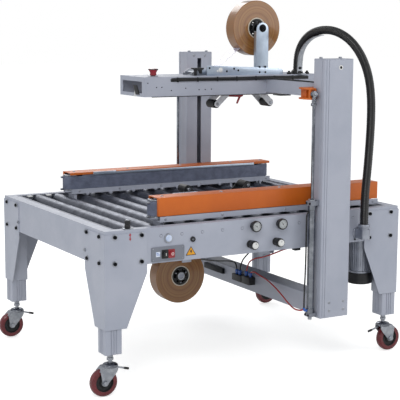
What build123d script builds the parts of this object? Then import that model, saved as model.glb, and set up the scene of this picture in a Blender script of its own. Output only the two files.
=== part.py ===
from build123d import *
from math import atan2, degrees, pi, radians, tan
import os

# Carton sealer: a roller table on four adjustable legs, two side belts that close in on the
# carton, and a taping head that two air cylinders lift between two columns.
# Millimetres. +X is the way the carton travels, -Y is the operator's side, +Z is up,
# and the origin is on the floor under the middle of the table.

os.makedirs("parts", exist_ok=True)

# table
table_length = 1300.0
table_width = 998.0
table_height = 602.0
panel_height = 130.0
sheet = 3.0
lip = 30.0
end_lip = 38.0
bottom_lip = 20.0

# legs and casters
cover_width_top = 168.0
cover_width_bottom = 86.0
cover_top = 590.0
cover_taper = 443.0
cover_bottom = 247.0
post_side = 65.4
post_wall = 4.0
post_top = 455.0
post_bottom = 156.0
post_play = 0.3
post_plate = 8.0
bolt_us = (40.0, 145.0)
bolt_vs = (580.0, 485.0)
bolt_head = 6.5
bolt_height = 7.0
socket_depth = 4.2
lever_reach = 74.0
lever_half = 11.0
wheel_radius = 52.0
wheel_width = 30.0
axle_radius = 6.0
hub_radius = 16.0
web_inset = 7.0
stem_radius = 7.0
stem_nut_radius = 12.0
stem_nut_height = 10.0
stem_nut_gap = 8.0
caster_trail = 27.0
crown_radius = 28.0
crown_height = 14.0
crown_bottom = 108.0

# roller bed
roller_count = 15
roller_pitch = 85.0
roller_radius = 30.0
roller_wall = 2.5
roller_end_gap = 4.0
stub_radius = 6.0
bed_drop = 2.0
slot_start = -130.0
slot_end = 300.0
slot_half = 62.0
rail = 4.0
rail_height = 76.0
slide_rod_radius = 10.0
slide_rod_gaps = (-4, 5)
cross_bar = 20.0

# operator's panel
button_xs = (-412.0, -385.0)
button_z = 503.0
button_radius = 10.5
button_stem = 5.0
button_travel = 4.0
plate_start = -465.0
plate_width = 133.0
plate_bottom = 477.0
plate_height = 53.0
plate_thick = 4.0
gauge_xs = (-35.0, 81.0)
gauge_z = 575.0
gauge_radius = 21.0
gauge_depth = 26.0
regulator_xs = (-50.0, 64.0)
regulator_z = 507.0
knob_radius = 17.0
knob_length = 26.0
lamp_place = (-396.0, 559.0)
lock_place = (-296.0, 547.0)
lamp_radius = 18.0
lock_radius = 10.0
regulator_length = 16.0
regulator_radius = 12.0
spindle_pin = 4.0
stop_place = (-232.0, -60.0)
stop_radius = 20.0
stop_stem = 9.0
guide_place = (-550.0, -478.0)
guide_radius = 11.0

# fits
run_gap = 0.05
slide_gap = 0.06

# side belts
belt_start = -425.0
belt_end = 586.0
belt_inner = 358.0
belt_thick = 4.0
belt_height = 54.0
pulley_radius = 30.0
cover_start = -402.0
cover_reach = 80.0
channel_bottom = 608.0
channel_lip = 20.0
carriage_length = 60.0
post_web = 12.0
motor_y = 418.0
motor_clearance = 2.0
fan_lip = 2.0
gearbox_height = 30.0
motor_radius = 50.0
motor_length = 172.0
fan_length = 45.0

# columns, cross channel and cylinders
column_start = 223.0
column_width = 133.0
column_depth = 76.0
column_bottom = 203.0
column_top = 1193.0
column_slot = 20.0
column_slot_top = 1165.0
channel_height = 75.0
channel_width = 80.0
channel_wall = 4.0
barrel_radius = 14.0
barrel_bore = 12.5
rod_radius = 6.0
cylinder_offset = 22.0
barrel_bottom = 222.0
barrel_top = 640.0
cap_height = 24.0
piston_height = 15.0
piston_bottom = 585.0

# taping head
head_start = -294.0
head_end = 520.0
head_half = 106.5
head_bottom = 1038.0
head_height = 77.0
head_lip = 18.0
end_edge = 22.0
tape_slot_xs = (-40.0, 50.0)
cross_start = 262.0
cross_width = 60.0
cross_bottom = 1045.0
cross_height = 53.0
neck = 16.0
shoe_play = 4.0
yoke_wall = 6.0
yoke_height = 44.0
eye_radius = 11.0
eye_thick = 14.0

# tape cassettes and rolls
cassette_half = 40.0
cassette_wall = 3.0
arm_half = 33.0
arm_wall = 3.0
arm_width = 26.0
press_radius = 17.0
press_half = 30.0
pivot_radius = 6.0
pin_radius = 5.0
tape_outer = 112.0
tape_inner = 42.0
core_inner = 38.0
tape_half = 30.0
spindle_radius = 10.0
mast_width = 58.0
mast_depth = 20.0
mast_wall = 3.0
mast_y = 75.0
upper_roll = (262.0, 1303.0)
lower_roll = (-91.0, 300.0)
upper_front = ((74.0, 997.0), (170.0, 1085.0))
upper_rear = ((331.0, 997.0), (240.0, 1085.0))
lower_front = ((-57.0, 655.0), (40.0, 560.0))
lower_rear = ((225.0, 655.0), (130.0, 560.0))

# hose from the head to the front panel: points of its route, straight runs and tangent arcs
hose_radius = 17.0
hose_route = [
    (429, -82, 1126), (429, -82, 1176), (430, -98, 1224), (433, -132, 1262), (436, -182, 1287),
    (439, -243, 1298), (442, -310, 1297), (445, -378, 1280), (448, -440, 1248), (451, -492, 1200),
    (453, -531, 1138), (454, -552, 1062), (454, -557, 970), (454, -552, 870), (453, -544, 765),
    (452, -532, 655), (452, -532, 548),
]

# worked out from the sizes above
half_length = table_length / 2
half_width = table_width / 2
web_outer = half_width - sheet
web_inner = web_outer - sheet
panel_bottom = table_height - panel_height
roller_z = table_height - bed_drop - roller_radius
roller_end = web_inner - lip - roller_end_gap
roller_xs = [roller_pitch * (i - (roller_count - 1) / 2) for i in range(roller_count)]
slide_xs = [roller_xs[roller_count // 2 + g] - roller_pitch / 2 for g in slide_rod_gaps]
post_inset = sheet + post_play + post_side / 2
post_centre = (half_length - post_inset, half_width - post_inset)
post_sleeve = post_centre[0] - post_side / 2 - post_play - sheet
motor_x = post_sleeve - motor_clearance - motor_radius - fan_lip
column_inner = web_outer
column_mid = column_inner + column_depth / 2
column_x = column_start + column_width / 2
cylinder_x = column_start - cylinder_offset
head_top = head_bottom + head_height
belt_outer_radius = pulley_radius + belt_thick
belt_mid = belt_inner + belt_outer_radius
pulley_xs = (belt_start + belt_outer_radius, belt_end - belt_outer_radius)
cassette_outer = cassette_half + cassette_wall
crown_top = crown_bottom + crown_height
corners = [(sx, sy) for sy in (-1, 1) for sx in (-1, 1)]
cover_bolts = [(u, v) for u in bolt_us for v in bolt_vs]
slide_z = roller_z - roller_radius - 20
belt_bottom = channel_bottom + belt_thick + 16
belt_top = belt_bottom + belt_height
cover_under = belt_top + 12
gearbox_top = roller_z - roller_radius - 8
gearbox_bottom = gearbox_top - gearbox_height
eye_z = cross_bottom + cross_height / 2 - 10
yoke_bottom = eye_z - yoke_height / 2


def block(xs, ys, zs, mode=Mode.ADD):
    """Add a box between two corners to the part being built."""
    with Locations([tuple((low + high) / 2 for low, high in (xs, ys, zs))]):
        Box(xs[1] - xs[0], ys[1] - ys[0], zs[1] - zs[0], mode=mode)


def rod(plane, at, radius, length, mode=Mode.ADD):
    """Add a cylinder that stands on a plane at one place."""
    with BuildSketch(plane) as disc:
        with Locations(at):
            Circle(radius)
    extrude(disc.sketch, amount=length, mode=mode)


def rod_y(x, z, radius, low, high, mode=Mode.ADD):
    """Add a cylinder along Y."""
    rod(Plane.XZ.offset(-high), (x, z), radius, high - low, mode)


def rod_z(x, y, radius, low, high, mode=Mode.ADD):
    """Add a cylinder along Z."""
    rod(Plane.XY.offset(low), (x, y), radius, high - low, mode)


def plate_y(points, low, high, mode=Mode.ADD):
    """Add a flat plate, drawn in X and Z, between two values of Y."""
    with BuildSketch(Plane.XZ.offset(-high)) as plate:
        Polygon(*points, align=None)
    extrude(plate.sketch, amount=high - low, mode=mode)


def link_y(start, end, width, low, high, mode=Mode.ADD):
    """Add a round-ended link, drawn in X and Z, between two values of Y."""
    with BuildSketch(Plane.XZ.offset(-high)) as link:
        run = Vector(*end) - Vector(*start)
        middle = (Vector(*start) + Vector(*end)) * 0.5
        with Locations(Location((middle.X, middle.Y, 0), (0, 0, 1), degrees(atan2(run.Y, run.X)))):
            SlotCenterToCenter(run.length, width)
    extrude(link.sketch, amount=high - low, mode=mode)


def turned_y(x, y, z, outline, cavity=None):
    """Add a body turned about Y: its outline is a list of (radius, distance along Y)."""
    with BuildSketch(Plane(origin=(x, y, z))) as section:
        Polygon(*outline, align=None)
        if cavity:
            Polygon(*cavity, align=None, mode=Mode.SUBTRACT)
    revolve(section.sketch, axis=Axis((x, y, z), (0, 1, 0)))


def save(part, name):
    """Label a finished part and write it."""
    part.label = name
    export_step(part, f"parts/{name}.step")


# table: two side panels and two end panels with folded lips
with BuildPart() as table_panels:
    for side in (-1, 1):
        with BuildSketch(Plane.YZ.offset(-half_length + 2 * sheet)):
            Polygon(
                (side * (web_inner - lip), table_height), (side * web_outer, table_height),
                (side * web_outer, panel_bottom), (side * (web_inner - bottom_lip), panel_bottom),
                (side * (web_inner - bottom_lip), panel_bottom + sheet),
                (side * web_inner, panel_bottom + sheet), (side * web_inner, table_height - sheet),
                (side * (web_inner - lip), table_height - sheet), align=None,
            )
        extrude(amount=table_length - 4 * sheet)
    for x in roller_xs:
        rod_y(x, roller_z, stub_radius + run_gap, -half_width, half_width, Mode.SUBTRACT)
    for x in button_xs:
        rod_y(x, button_z, button_stem + slide_gap, -half_width, 0, Mode.SUBTRACT)
    for end in (-1, 1):
        face, back = end * (half_length - sheet), end * (half_length - 2 * sheet)
        block(sorted((face, back)), (-web_outer, web_outer), (panel_bottom, table_height))
        block(
            sorted((back, back - end * end_lip)), (lip - web_inner, web_inner - lip),
            (table_height - sheet, table_height),
        )
save(table_panels.part, "table_panels")


# leg covers: bent sheet on each corner, with the square sleeve that guides the post
with BuildPart() as leg_covers:
    cover_outline = [
        (0, cover_top), (cover_width_top, cover_top), (cover_width_top, cover_taper),
        (cover_width_bottom, cover_bottom), (0, cover_bottom),
    ]
    plate_y([(u - half_length, v) for u, v in cover_outline], -half_width, -web_outer)
    with BuildSketch(Plane.YZ.offset(-half_length)):
        Polygon(*[(u - half_width, v) for u, v in cover_outline], align=None)
    extrude(amount=sheet)
    sleeve_x = sheet + 2 * post_play + post_side - half_length
    sleeve_y = sheet + 2 * post_play + post_side - half_width
    sleeve_zs = (cover_bottom, post_top + 15)
    block((sleeve_x, sleeve_x + sheet), (-web_outer, sleeve_y + sheet), sleeve_zs)
    block((sheet - half_length, sleeve_x), (sleeve_y, sleeve_y + sheet), sleeve_zs)
    mirror(about=Plane.YZ)
    mirror(about=Plane.XZ)
save(leg_covers.part, "leg_covers")


# bolts that hold the leg covers: round heads with a hexagon socket
with BuildPart() as leg_bolts:
    for base, away, out, edge in (
        (Plane.XZ, half_width, 1, half_length), (Plane.YZ, -half_length, -1, half_width),
    ):
        places = [(u - edge, v) for u, v in cover_bolts]
        with BuildSketch(base.offset(away)):
            with Locations(places):
                Circle(bolt_head)
        extrude(amount=out * bolt_height)
        with BuildSketch(base.offset(away + out * bolt_height)):
            with Locations(places):
                RegularPolygon(bolt_head / 2, 6)
        extrude(amount=-out * socket_depth, mode=Mode.SUBTRACT)
    mirror(about=Plane.YZ)
    mirror(about=Plane.XZ)
save(leg_bolts.part, "leg_bolts")


# leg posts: square tubes with an end plate, and the caster stem with its nut
with BuildPart() as leg_posts:
    for sx, sy in corners:
        x, y = sx * post_centre[0], sy * post_centre[1]
        with BuildSketch(Plane.XY.offset(post_bottom)):
            with Locations((x, y)):
                RectangleRounded(post_side, post_side, post_wall)
                Rectangle(post_side - 2 * post_wall, post_side - 2 * post_wall, mode=Mode.SUBTRACT)
        extrude(amount=post_top - post_bottom)
        with BuildSketch(Plane.XY.offset(post_bottom)):
            with Locations((x, y)):
                RectangleRounded(post_side, post_side, post_wall)
        extrude(amount=post_plate)
        rod_z(x, y, stem_radius, crown_bottom - 4, post_bottom)
        with BuildSketch(Plane.XY.offset(crown_top + stem_nut_gap)):
            with Locations((x, y)):
                RegularPolygon(stem_nut_radius, 6)
        extrude(amount=stem_nut_height)
save(leg_posts.part, "leg_posts")


def caster_fork(name, sx, sy):
    """Swivel crown, two fork cheeks, the axle and the brake lever of one caster."""
    x, y = sx * post_centre[0], sy * post_centre[1]
    cheek_in = wheel_width / 2 + 2
    cheek_out = cheek_in + sheet
    axle_x = x + sx * caster_trail
    with BuildPart() as fork:
        rod_z(x, y, crown_radius, crown_bottom, crown_top)
        for side in (-1, 1):
            plate_y(
                [
                    (x - sx * 18, crown_top - 4), (x + sx * 22, crown_top - 4),
                    (axle_x + sx * 13, wheel_radius), (axle_x, wheel_radius - 13),
                    (axle_x - sx * 13, wheel_radius),
                ], *sorted((y + side * cheek_in, y + side * cheek_out)),
            )
        rod_y(axle_x, wheel_radius, axle_radius, y - cheek_out - 4, y + cheek_out + 4)
        lever_root = x - sx * 20
        lever_ys = (y - lever_half, y + lever_half)
        block(sorted((lever_root, x - sx * lever_reach)), lever_ys, (crown_bottom - 6, crown_bottom - 2))
        block(sorted((lever_root, x - sx * 27)), lever_ys, (crown_bottom - 3, crown_bottom + 4))
        rod_z(x, y, stem_radius + run_gap, crown_bottom - 5, crown_top, Mode.SUBTRACT)
    save(fork.part, name)


def caster_wheel(name, sx, sy):
    """Wheel with a hub, a web and a round tread, bored for the axle."""
    x, y = sx * (post_centre[0] + caster_trail), sy * post_centre[1]
    half, bore = wheel_width / 2, axle_radius + run_gap
    shoulder = wheel_radius - 6
    with BuildPart() as wheel:
        with BuildSketch(Plane(origin=(x, y, wheel_radius))):
            with BuildLine():
                web, tread, rim = half - web_inset, wheel_radius - 14, wheel_radius - 18
                Polyline(
                    (shoulder, half), (tread, half), (rim, web), (hub_radius + 4, web), (hub_radius, half),
                    (bore, half), (bore, -half), (hub_radius, -half), (hub_radius + 4, -web), (rim, -web),
                    (tread, -half), (shoulder, -half),
                )
                ThreePointArc((shoulder, -half), (wheel_radius, 0), (shoulder, half))
            make_face()
        revolve(axis=Axis((x, y, wheel_radius), (0, 1, 0)))
    save(wheel.part, name)


for across, sy in (("front", -1), ("back", 1)):
    for along, sx in (("infeed", -1), ("outfeed", 1)):
        caster_fork(f"caster_fork_{across}_{along}", sx, sy)
        caster_wheel(f"caster_wheel_{across}_{along}", sx, sy)


def bed_roller(name, x):
    """One roller position: tube, end discs and stub shafts, in two halves over the tape slot."""
    split = slot_start < x + roller_radius and x - roller_radius < slot_end
    start = slot_half + rail + roller_end_gap if split else -roller_end
    stub_start = slot_half + 1 if split else -web_outer
    wall, core = roller_wall, stub_radius + 2
    with BuildPart() as roller:
        turned_y(
            x, 0, roller_z,
            [
                (0, stub_start), (stub_radius, stub_start), (stub_radius, start),
                (roller_radius, start), (roller_radius, roller_end), (stub_radius, roller_end),
                (stub_radius, web_outer), (0, web_outer),
            ],
            [
                (core, start + wall), (roller_radius - wall, start + wall),
                (roller_radius - wall, roller_end - wall), (core, roller_end - wall),
            ],
        )
        if split:
            mirror(about=Plane.XZ)
    save(roller.part, name)


for number, x in enumerate(roller_xs, 1):
    bed_roller(f"roller_{number:02d}", x)


# bed supports: two rails beside the tape slot, cross bars, and the rods the belt units slide on
with BuildPart() as bed_supports:
    rail_bottom = table_height - bed_drop - rail_height
    for side in (-1, 1):
        block((slot_start, slot_end), sorted((side * slot_half, side * (slot_half + rail))),
              (rail_bottom, rail_bottom + rail_height - 4))
    for x in roller_xs:
        rod_y(x, roller_z, stub_radius + run_gap, -slot_half - rail, slot_half + rail, Mode.SUBTRACT)
    for xs in ((slot_start, slot_start + cross_bar), (slot_end - cross_bar, slot_end)):
        block(xs, (-web_inner, web_inner), (rail_bottom - cross_bar, rail_bottom))
    for x in slide_xs:
        rod_y(x, slide_z, slide_rod_radius, -web_inner, web_inner)
save(bed_supports.part, "bed_supports")


# columns: folded sheet boxes with a slot in the inner face
with BuildPart() as columns:
    inside = column_inner + sheet
    column_end = column_start + column_width
    block((column_start, column_end), (column_inner, column_inner + column_depth),
          (column_bottom, column_top))
    block((column_start + sheet, column_end - sheet), (inside, inside + column_depth - 2 * sheet),
          (column_bottom + sheet, column_top - sheet), Mode.SUBTRACT)
    block((column_x - column_slot / 2, column_x + column_slot / 2), (column_inner, inside),
          (table_height + 40, column_slot_top), Mode.SUBTRACT)
    mirror(about=Plane.XZ)
save(columns.part, "columns")


# cross channel that ties the feet of the columns together
with BuildPart() as cross_channel:
    with BuildSketch(Plane.XZ.offset(-column_inner)):
        with Locations((column_x - 12, column_bottom + channel_height / 2 + 2)):
            Rectangle(channel_width, channel_height)
            with Locations((0, -channel_wall)):
                Rectangle(channel_width - 2 * channel_wall, channel_height, mode=Mode.SUBTRACT)
    extrude(amount=2 * column_inner)
save(cross_channel.part, "cross_channel")


# lift cylinders: barrel, top cap and foot, bolted to the faces of the columns
with BuildPart() as lift_cylinders:
    rod_z(cylinder_x, column_mid, barrel_radius, barrel_bottom, barrel_top)
    block((cylinder_x - barrel_radius - 2, column_start), (column_mid - 17, column_mid + 17),
          (barrel_top, barrel_top + cap_height))
    block((cylinder_x - barrel_radius, column_start), (column_mid - 16, column_mid + 16),
          (barrel_bottom - 14, barrel_bottom))
    rod_z(cylinder_x, column_mid, barrel_bore, barrel_bottom, barrel_top, Mode.SUBTRACT)
    rod_z(cylinder_x, column_mid, rod_radius + run_gap, barrel_top, barrel_top + cap_height, Mode.SUBTRACT)
    mirror(about=Plane.XZ)
save(lift_cylinders.part, "lift_cylinders")


# lift rods: piston, rod, nut and the eye that the yoke is pinned to
with BuildPart() as lift_rods:
    rod_z(cylinder_x, column_mid, barrel_bore - slide_gap, piston_bottom, piston_bottom + piston_height)
    rod_z(cylinder_x, column_mid, rod_radius, piston_bottom, eye_z - eye_radius + 2)
    with BuildSketch(Plane.XY.offset(yoke_bottom - 10)):
        with Locations((cylinder_x, column_mid)):
            RegularPolygon(10, 6)
    extrude(amount=8)
    rod_y(cylinder_x, eye_z, eye_radius, column_mid - eye_thick / 2, column_mid + eye_thick / 2)
    rod_y(cylinder_x, eye_z, pin_radius + slide_gap, column_mid - eye_thick, column_mid + eye_thick,
          Mode.SUBTRACT)
    mirror(about=Plane.XZ)
save(lift_rods.part, "lift_rods")


# taping head: folded beam, open below, with lips, end walls and cut-outs
with BuildPart() as head_beam:
    block((head_start, head_end), (-head_half, head_half), (head_bottom, head_top))
    block((head_start + sheet, head_end - sheet), (sheet - head_half, head_half - sheet),
          (head_bottom + sheet, head_top - sheet), Mode.SUBTRACT)
    block((head_start + 30, head_end - 30), (head_lip - head_half, head_half - head_lip),
          (head_bottom, head_bottom + sheet), Mode.SUBTRACT)
    block((head_start, head_start + sheet), (end_edge - head_half, head_half - end_edge),
          (head_bottom + 14, head_top - head_lip), Mode.SUBTRACT)
    block(tape_slot_xs, (-tape_half - 6, tape_half + 6), (head_top - sheet, head_top), Mode.SUBTRACT)
    rod_z(*stop_place, stop_stem + slide_gap, head_top - sheet, head_top, Mode.SUBTRACT)
    start_x, start_y, start_z = hose_route[0]
    rod_z(start_x, start_y, hose_radius + 5, head_top, start_z)
    rod_z(start_x, start_y, hose_radius - 4, head_top - sheet, start_z, Mode.SUBTRACT)
save(head_beam.part, "head_beam")


# crossbeams from the head to the columns, with the necks and guide shoes in the column slots
with BuildPart() as lift_crossbeams:
    reach = column_inner - 5
    cross_end, cross_top = cross_start + cross_width, cross_bottom + cross_height
    inset = sheet + shoe_play
    block((cross_start, cross_end), (head_half, reach), (cross_bottom, cross_top))
    block((cross_start + sheet, cross_end - sheet), (head_half + sheet, reach - sheet),
          (cross_bottom + sheet, cross_top - sheet), Mode.SUBTRACT)
    block((column_x - neck / 2, column_x + neck / 2), (reach, column_inner + inset),
          (cross_bottom, cross_top))
    block((column_start + inset, column_start + column_width - inset),
          (column_inner + sheet + 1, column_inner + column_depth - inset), (cross_bottom - 20, cross_top + 8))
    mirror(about=Plane.XZ)
save(lift_crossbeams.part, "lift_crossbeams")


# yokes: channels that carry the pull of each cylinder to the crossbeam, with the eye's pin
with BuildPart() as lift_yokes:
    arm_front, arm_back = column_inner - 66, column_inner - 12
    end_y = column_mid - eye_thick / 2 - 1
    with BuildSketch(Plane.XY.offset(yoke_bottom)):
        Polygon(
            (cross_start, arm_front), (cross_start, arm_back), (column_start - 6, arm_back),
            (column_start - 6, end_y), (cylinder_x - 20, end_y), (cylinder_x - 20, arm_front), align=None,
        )
    extrude(amount=yoke_height)
    block((cylinder_x - 20, cylinder_x + 2), (arm_front + yoke_wall, end_y - yoke_wall),
          (yoke_bottom + yoke_wall, yoke_bottom + yoke_height - yoke_wall), Mode.SUBTRACT)
    eye_end = column_mid + eye_thick / 2 + 1
    rod_y(cylinder_x, eye_z, pin_radius, end_y - 2, eye_end)
    rod_y(cylinder_x, eye_z, pin_radius + 3, eye_end, eye_end + 5)
    mirror(about=Plane.XZ)
save(lift_yokes.part, "lift_yokes")


# tape mast: side plate and U-shaped post on the head, with the spindle of the upper roll
with BuildPart() as tape_mast:
    face = -mast_y
    mast_top = upper_roll[1] + 24
    block((0, 360), (face, face + mast_wall), (head_top, head_top + 38))
    with BuildSketch(Plane.XY.offset(head_top + 10)):
        with Locations((upper_roll[0], face + mast_depth / 2)):
            Rectangle(mast_width, mast_depth)
            with Locations((0, mast_wall)):
                Rectangle(mast_width - 2 * mast_wall, mast_depth, mode=Mode.SUBTRACT)
    extrude(amount=mast_top - head_top - 10)
    rod_y(*upper_roll, spindle_radius, face, tape_half + 5)
    rod_y(*upper_roll, spindle_radius + 8, -tape_half - 8, -tape_half - 1)
save(tape_mast.part, "tape_mast")


def tape_roll(name, centre):
    """Roll of tape on its core, and the hub that turns on the spindle: three solids."""
    x, z = centre
    radii = (tape_outer, tape_inner, core_inner, spindle_radius + run_gap)
    with BuildPart() as roll:
        for outer, inner in zip(radii, radii[1:]):
            turned_y(x, 0, z, [
                (inner, -tape_half), (outer, -tape_half), (outer, tape_half), (inner, tape_half),
            ])
    save(roll.part, name)


def cassette(name, plates, spacers, pivots, spacer_reach, strap=None):
    """Two side plates with spacers and pivot rods, and for the lower one a strap for its roll."""
    with BuildPart() as frame:
        for side in (-1, 1):
            plate_y(plates, *sorted((side * cassette_half, side * cassette_outer)))
        for x, z in spacers:
            rod_y(x, z, pivot_radius, -spacer_reach, spacer_reach)
        for x, z in pivots:
            rod_y(x, z, pivot_radius, -cassette_outer, cassette_outer)
        if strap:
            x, z = strap
            top = plates[0][1]
            block((x - 18, x + 18), (cassette_half, cassette_outer), (z - 18, top))
            rod_y(x, z, spindle_radius, -tape_half - 4, cassette_outer)
    save(frame.part, name)


def press_arm(name, roller, pivot):
    """Two arm plates joined by a sleeve on the pivot rod and an axle, with the rubber roller."""
    with BuildPart() as arm:
        for side in (-1, 1):
            link_y(roller, pivot, arm_width, *sorted((side * arm_half, side * (arm_half + arm_wall))))
        rod_y(*pivot, pivot_radius + 5, -arm_half, arm_half)
        rod_y(*roller, pin_radius, -arm_half, arm_half)
        rod_y(*pivot, pivot_radius + run_gap, -arm_half - arm_wall, arm_half + arm_wall, Mode.SUBTRACT)
    with BuildPart() as rubber:
        turned_y(roller[0], 0, roller[1], [
            (pin_radius + run_gap, -press_half), (press_radius, -press_half),
            (press_radius, press_half), (pin_radius + run_gap, press_half),
        ])
    save(Compound(children=[arm.part, rubber.part]), name)


tape_roll("upper_tape_roll", upper_roll)
tape_roll("lower_tape_roll", lower_roll)
head_inside = head_half - sheet
cassette(
    "upper_cassette", [(60, 1108), (350, 1108), (350, 1056), (60, 1056)],
    [(90, 1098), (205, 1100), (330, 1098)], [upper_front[1], upper_rear[1]], head_inside,
)
cassette(
    "lower_cassette", [(-115, 585), (285, 585), (285, 526), (-115, 526)],
    [(-100, 534), (85, 532), (272, 534)], [lower_front[1], lower_rear[1]], slot_half, lower_roll,
)
press_arm("upper_front_arm", *upper_front)
press_arm("upper_rear_arm", *upper_rear)
press_arm("lower_front_arm", *lower_front)
press_arm("lower_rear_arm", *lower_rear)


def belt_unit(side, name):
    """One side belt: channel and carriages, cover, belt loop and motor, written as four nodes."""
    mid = side * belt_mid
    floor = channel_bottom + belt_thick
    inner_y, outer_y = belt_inner - 2, belt_inner + cover_reach + 6
    whole = (cover_start, belt_end)

    def span(low, high):
        return sorted((side * low, side * high))

    with BuildPart() as frame:
        block(whole, span(inner_y, outer_y), (channel_bottom, floor))
        block(whole, span(inner_y, inner_y + sheet), (floor, channel_bottom + channel_lip))
        block(whole, span(outer_y - sheet, outer_y), (floor, channel_bottom + channel_lip))
        block((pulley_xs[0] + 45, pulley_xs[1] - 45), span(belt_mid - 24, belt_mid + 24),
              (floor, belt_top + 6))
        for x in pulley_xs:
            rod_z(x, mid, pulley_radius, floor + 4, belt_top)
            rod_z(x, mid, 8, floor, cover_under)
        for x in slide_xs:
            half = carriage_length / 2
            block((x - post_web / 2, x + post_web / 2), span(belt_mid - half, belt_mid + half),
                  (slide_z, channel_bottom))
            block((x - 15, x + 15), span(belt_mid - half, belt_mid + half), (slide_z - 15, slide_z + 15))
            rod_y(x, slide_z, slide_rod_radius + slide_gap, -half_width, half_width, Mode.SUBTRACT)
    save(frame.part, f"belt_frame_{name}")

    with BuildPart() as cover:
        outside = belt_inner + cover_reach + 2
        block(whole, span(belt_inner + 2, outside), (cover_under, cover_under + sheet))
        block(whole, span(outside - sheet, outside), (channel_bottom + channel_lip, cover_under))
    save(cover.part, f"belt_cover_{name}")

    with BuildPart() as belt:
        with BuildSketch(Plane.XY.offset(belt_bottom)):
            with Locations(((pulley_xs[0] + pulley_xs[1]) / 2, mid)):
                SlotCenterToCenter(pulley_xs[1] - pulley_xs[0], 2 * belt_outer_radius)
                SlotCenterToCenter(pulley_xs[1] - pulley_xs[0], 2 * pulley_radius, mode=Mode.SUBTRACT)
        extrude(amount=belt_height)
    save(belt.part, f"side_belt_{name}")

    with BuildPart() as motor:
        x, y = motor_x, side * motor_y
        fan_top = gearbox_bottom - motor_length
        rod_z(x, y, motor_radius, fan_top, gearbox_bottom)
        rod_z(x, y, motor_radius + fan_lip, fan_top - fan_length, fan_top)
        block((x - 36, pulley_xs[1] + 22), span(belt_mid - 20, motor_y + 22),
              (gearbox_bottom, gearbox_top))
        rod_z(pulley_xs[1], mid, 8, gearbox_top, channel_bottom)
    save(motor.part, f"belt_motor_{name}")


belt_unit(-1, "front")
belt_unit(1, "back")


# fittings on the front panel: switch plate, lamp, lock, gauges, regulators, hose elbow, guide bracket
with BuildPart() as panel_fittings:
    plate_face = -web_outer - plate_thick
    block((plate_start, plate_start + plate_width), (plate_face, -web_outer),
          (plate_bottom, plate_bottom + plate_height))
    for x in button_xs:
        rod_y(x, button_z, button_stem + slide_gap, plate_face, -web_outer, Mode.SUBTRACT)
    rod_y(*lamp_place, lamp_radius, -web_outer - 10, -web_outer)
    rod_y(*lock_place, lock_radius, -web_outer - 8, -web_outer)
    for x in gauge_xs:
        rod_y(x, gauge_z, gauge_radius, -web_outer - gauge_depth, -web_outer)
    for x in regulator_xs:
        rod_y(x, regulator_z, regulator_radius, -web_outer - regulator_length, -web_outer)
        rod_y(x, regulator_z, spindle_pin, 6 - web_outer - regulator_length - knob_length,
              -web_outer - regulator_length)
    end_x, end_y, end_z = hose_route[-1]
    block((end_x - 20, end_x + 20), (end_y - 20, -web_outer), (end_z - 58, end_z - 20))
    rod_z(end_x, end_y, hose_radius + 4, end_z - 20, end_z)
    x, y = guide_place
    block((x - 14, x + 14), (-web_outer, y + 12), (table_height, table_height + 3))
    rod_z(x, y, spindle_pin, table_height + 3, table_height + 34)
save(panel_fittings.part, "panel_fittings")

with BuildPart() as guide_roller:
    rod_z(*guide_place, guide_radius, table_height + 4, table_height + 30)
    rod_z(*guide_place, spindle_pin + run_gap, table_height + 4, table_height + 30, Mode.SUBTRACT)
save(guide_roller.part, "guide_roller")


def push_button(name, x):
    """A flush button: round cap and the stem that slides in the plate."""
    with BuildPart() as button:
        cap_back = -web_outer - plate_thick - button_travel - 0.5
        rod_y(x, button_z, button_radius, cap_back - 6, cap_back)
        rod_y(x, button_z, button_stem, cap_back, -web_inner + 12)
    save(button.part, name)


push_button("start_button", button_xs[0])
push_button("stop_button", button_xs[1])


def regulator_knob(name, x):
    """A turning knob on the spindle of its pressure regulator."""
    with BuildPart() as knob:
        face = -web_outer - regulator_length - 1
        rod_y(x, regulator_z, knob_radius, face - knob_length, face)
        rod_y(x, regulator_z, spindle_pin + run_gap, face - knob_length + 4, face, Mode.SUBTRACT)
    save(knob.part, name)


regulator_knob("lift_pressure_knob", regulator_xs[0])
regulator_knob("belt_pressure_knob", regulator_xs[1])

# emergency stop: mushroom head with a stem through the top of the head beam
with BuildPart() as emergency_stop:
    base = head_top + button_travel + 1
    rod_z(*stop_place, stop_radius - 7, base, base + 14)
    rod_z(*stop_place, stop_radius, base + 14, base + 26)
    rod_z(*stop_place, stop_stem, head_top - 14, base)
save(emergency_stop.part, "emergency_stop")

# hose: straight runs joined by tangent arcs
turns = []
for before, here, after in zip(hose_route, hose_route[1:], hose_route[2:]):
    first, second = Vector(*here) - Vector(*before), Vector(*after) - Vector(*here)
    turns.append(0.45 * min(first.length, second.length) / tan(radians(first.get_angle(second)) / 2))
print("hose radii", [round(r) for r in turns])
with BuildPart() as hose:
    with BuildLine() as hose_path:
        FilletPolyline(*hose_route, radius=turns)
    with BuildSketch(Plane.XY.offset(hose_route[0][2])):
        with Locations(hose_route[0][:2]):
            Circle(hose_radius)
    sweep(path=hose_path.wires()[0])
print("hose length", round(hose_path.wires()[0].length), "volume ratio",
      round(hose.part.volume / (pi * hose_radius ** 2 * hose_path.wires()[0].length), 4))
save(hose.part, "conduit_hose")
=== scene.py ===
import math
import bpy
import bmesh
from mathutils import Matrix, Vector


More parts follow.
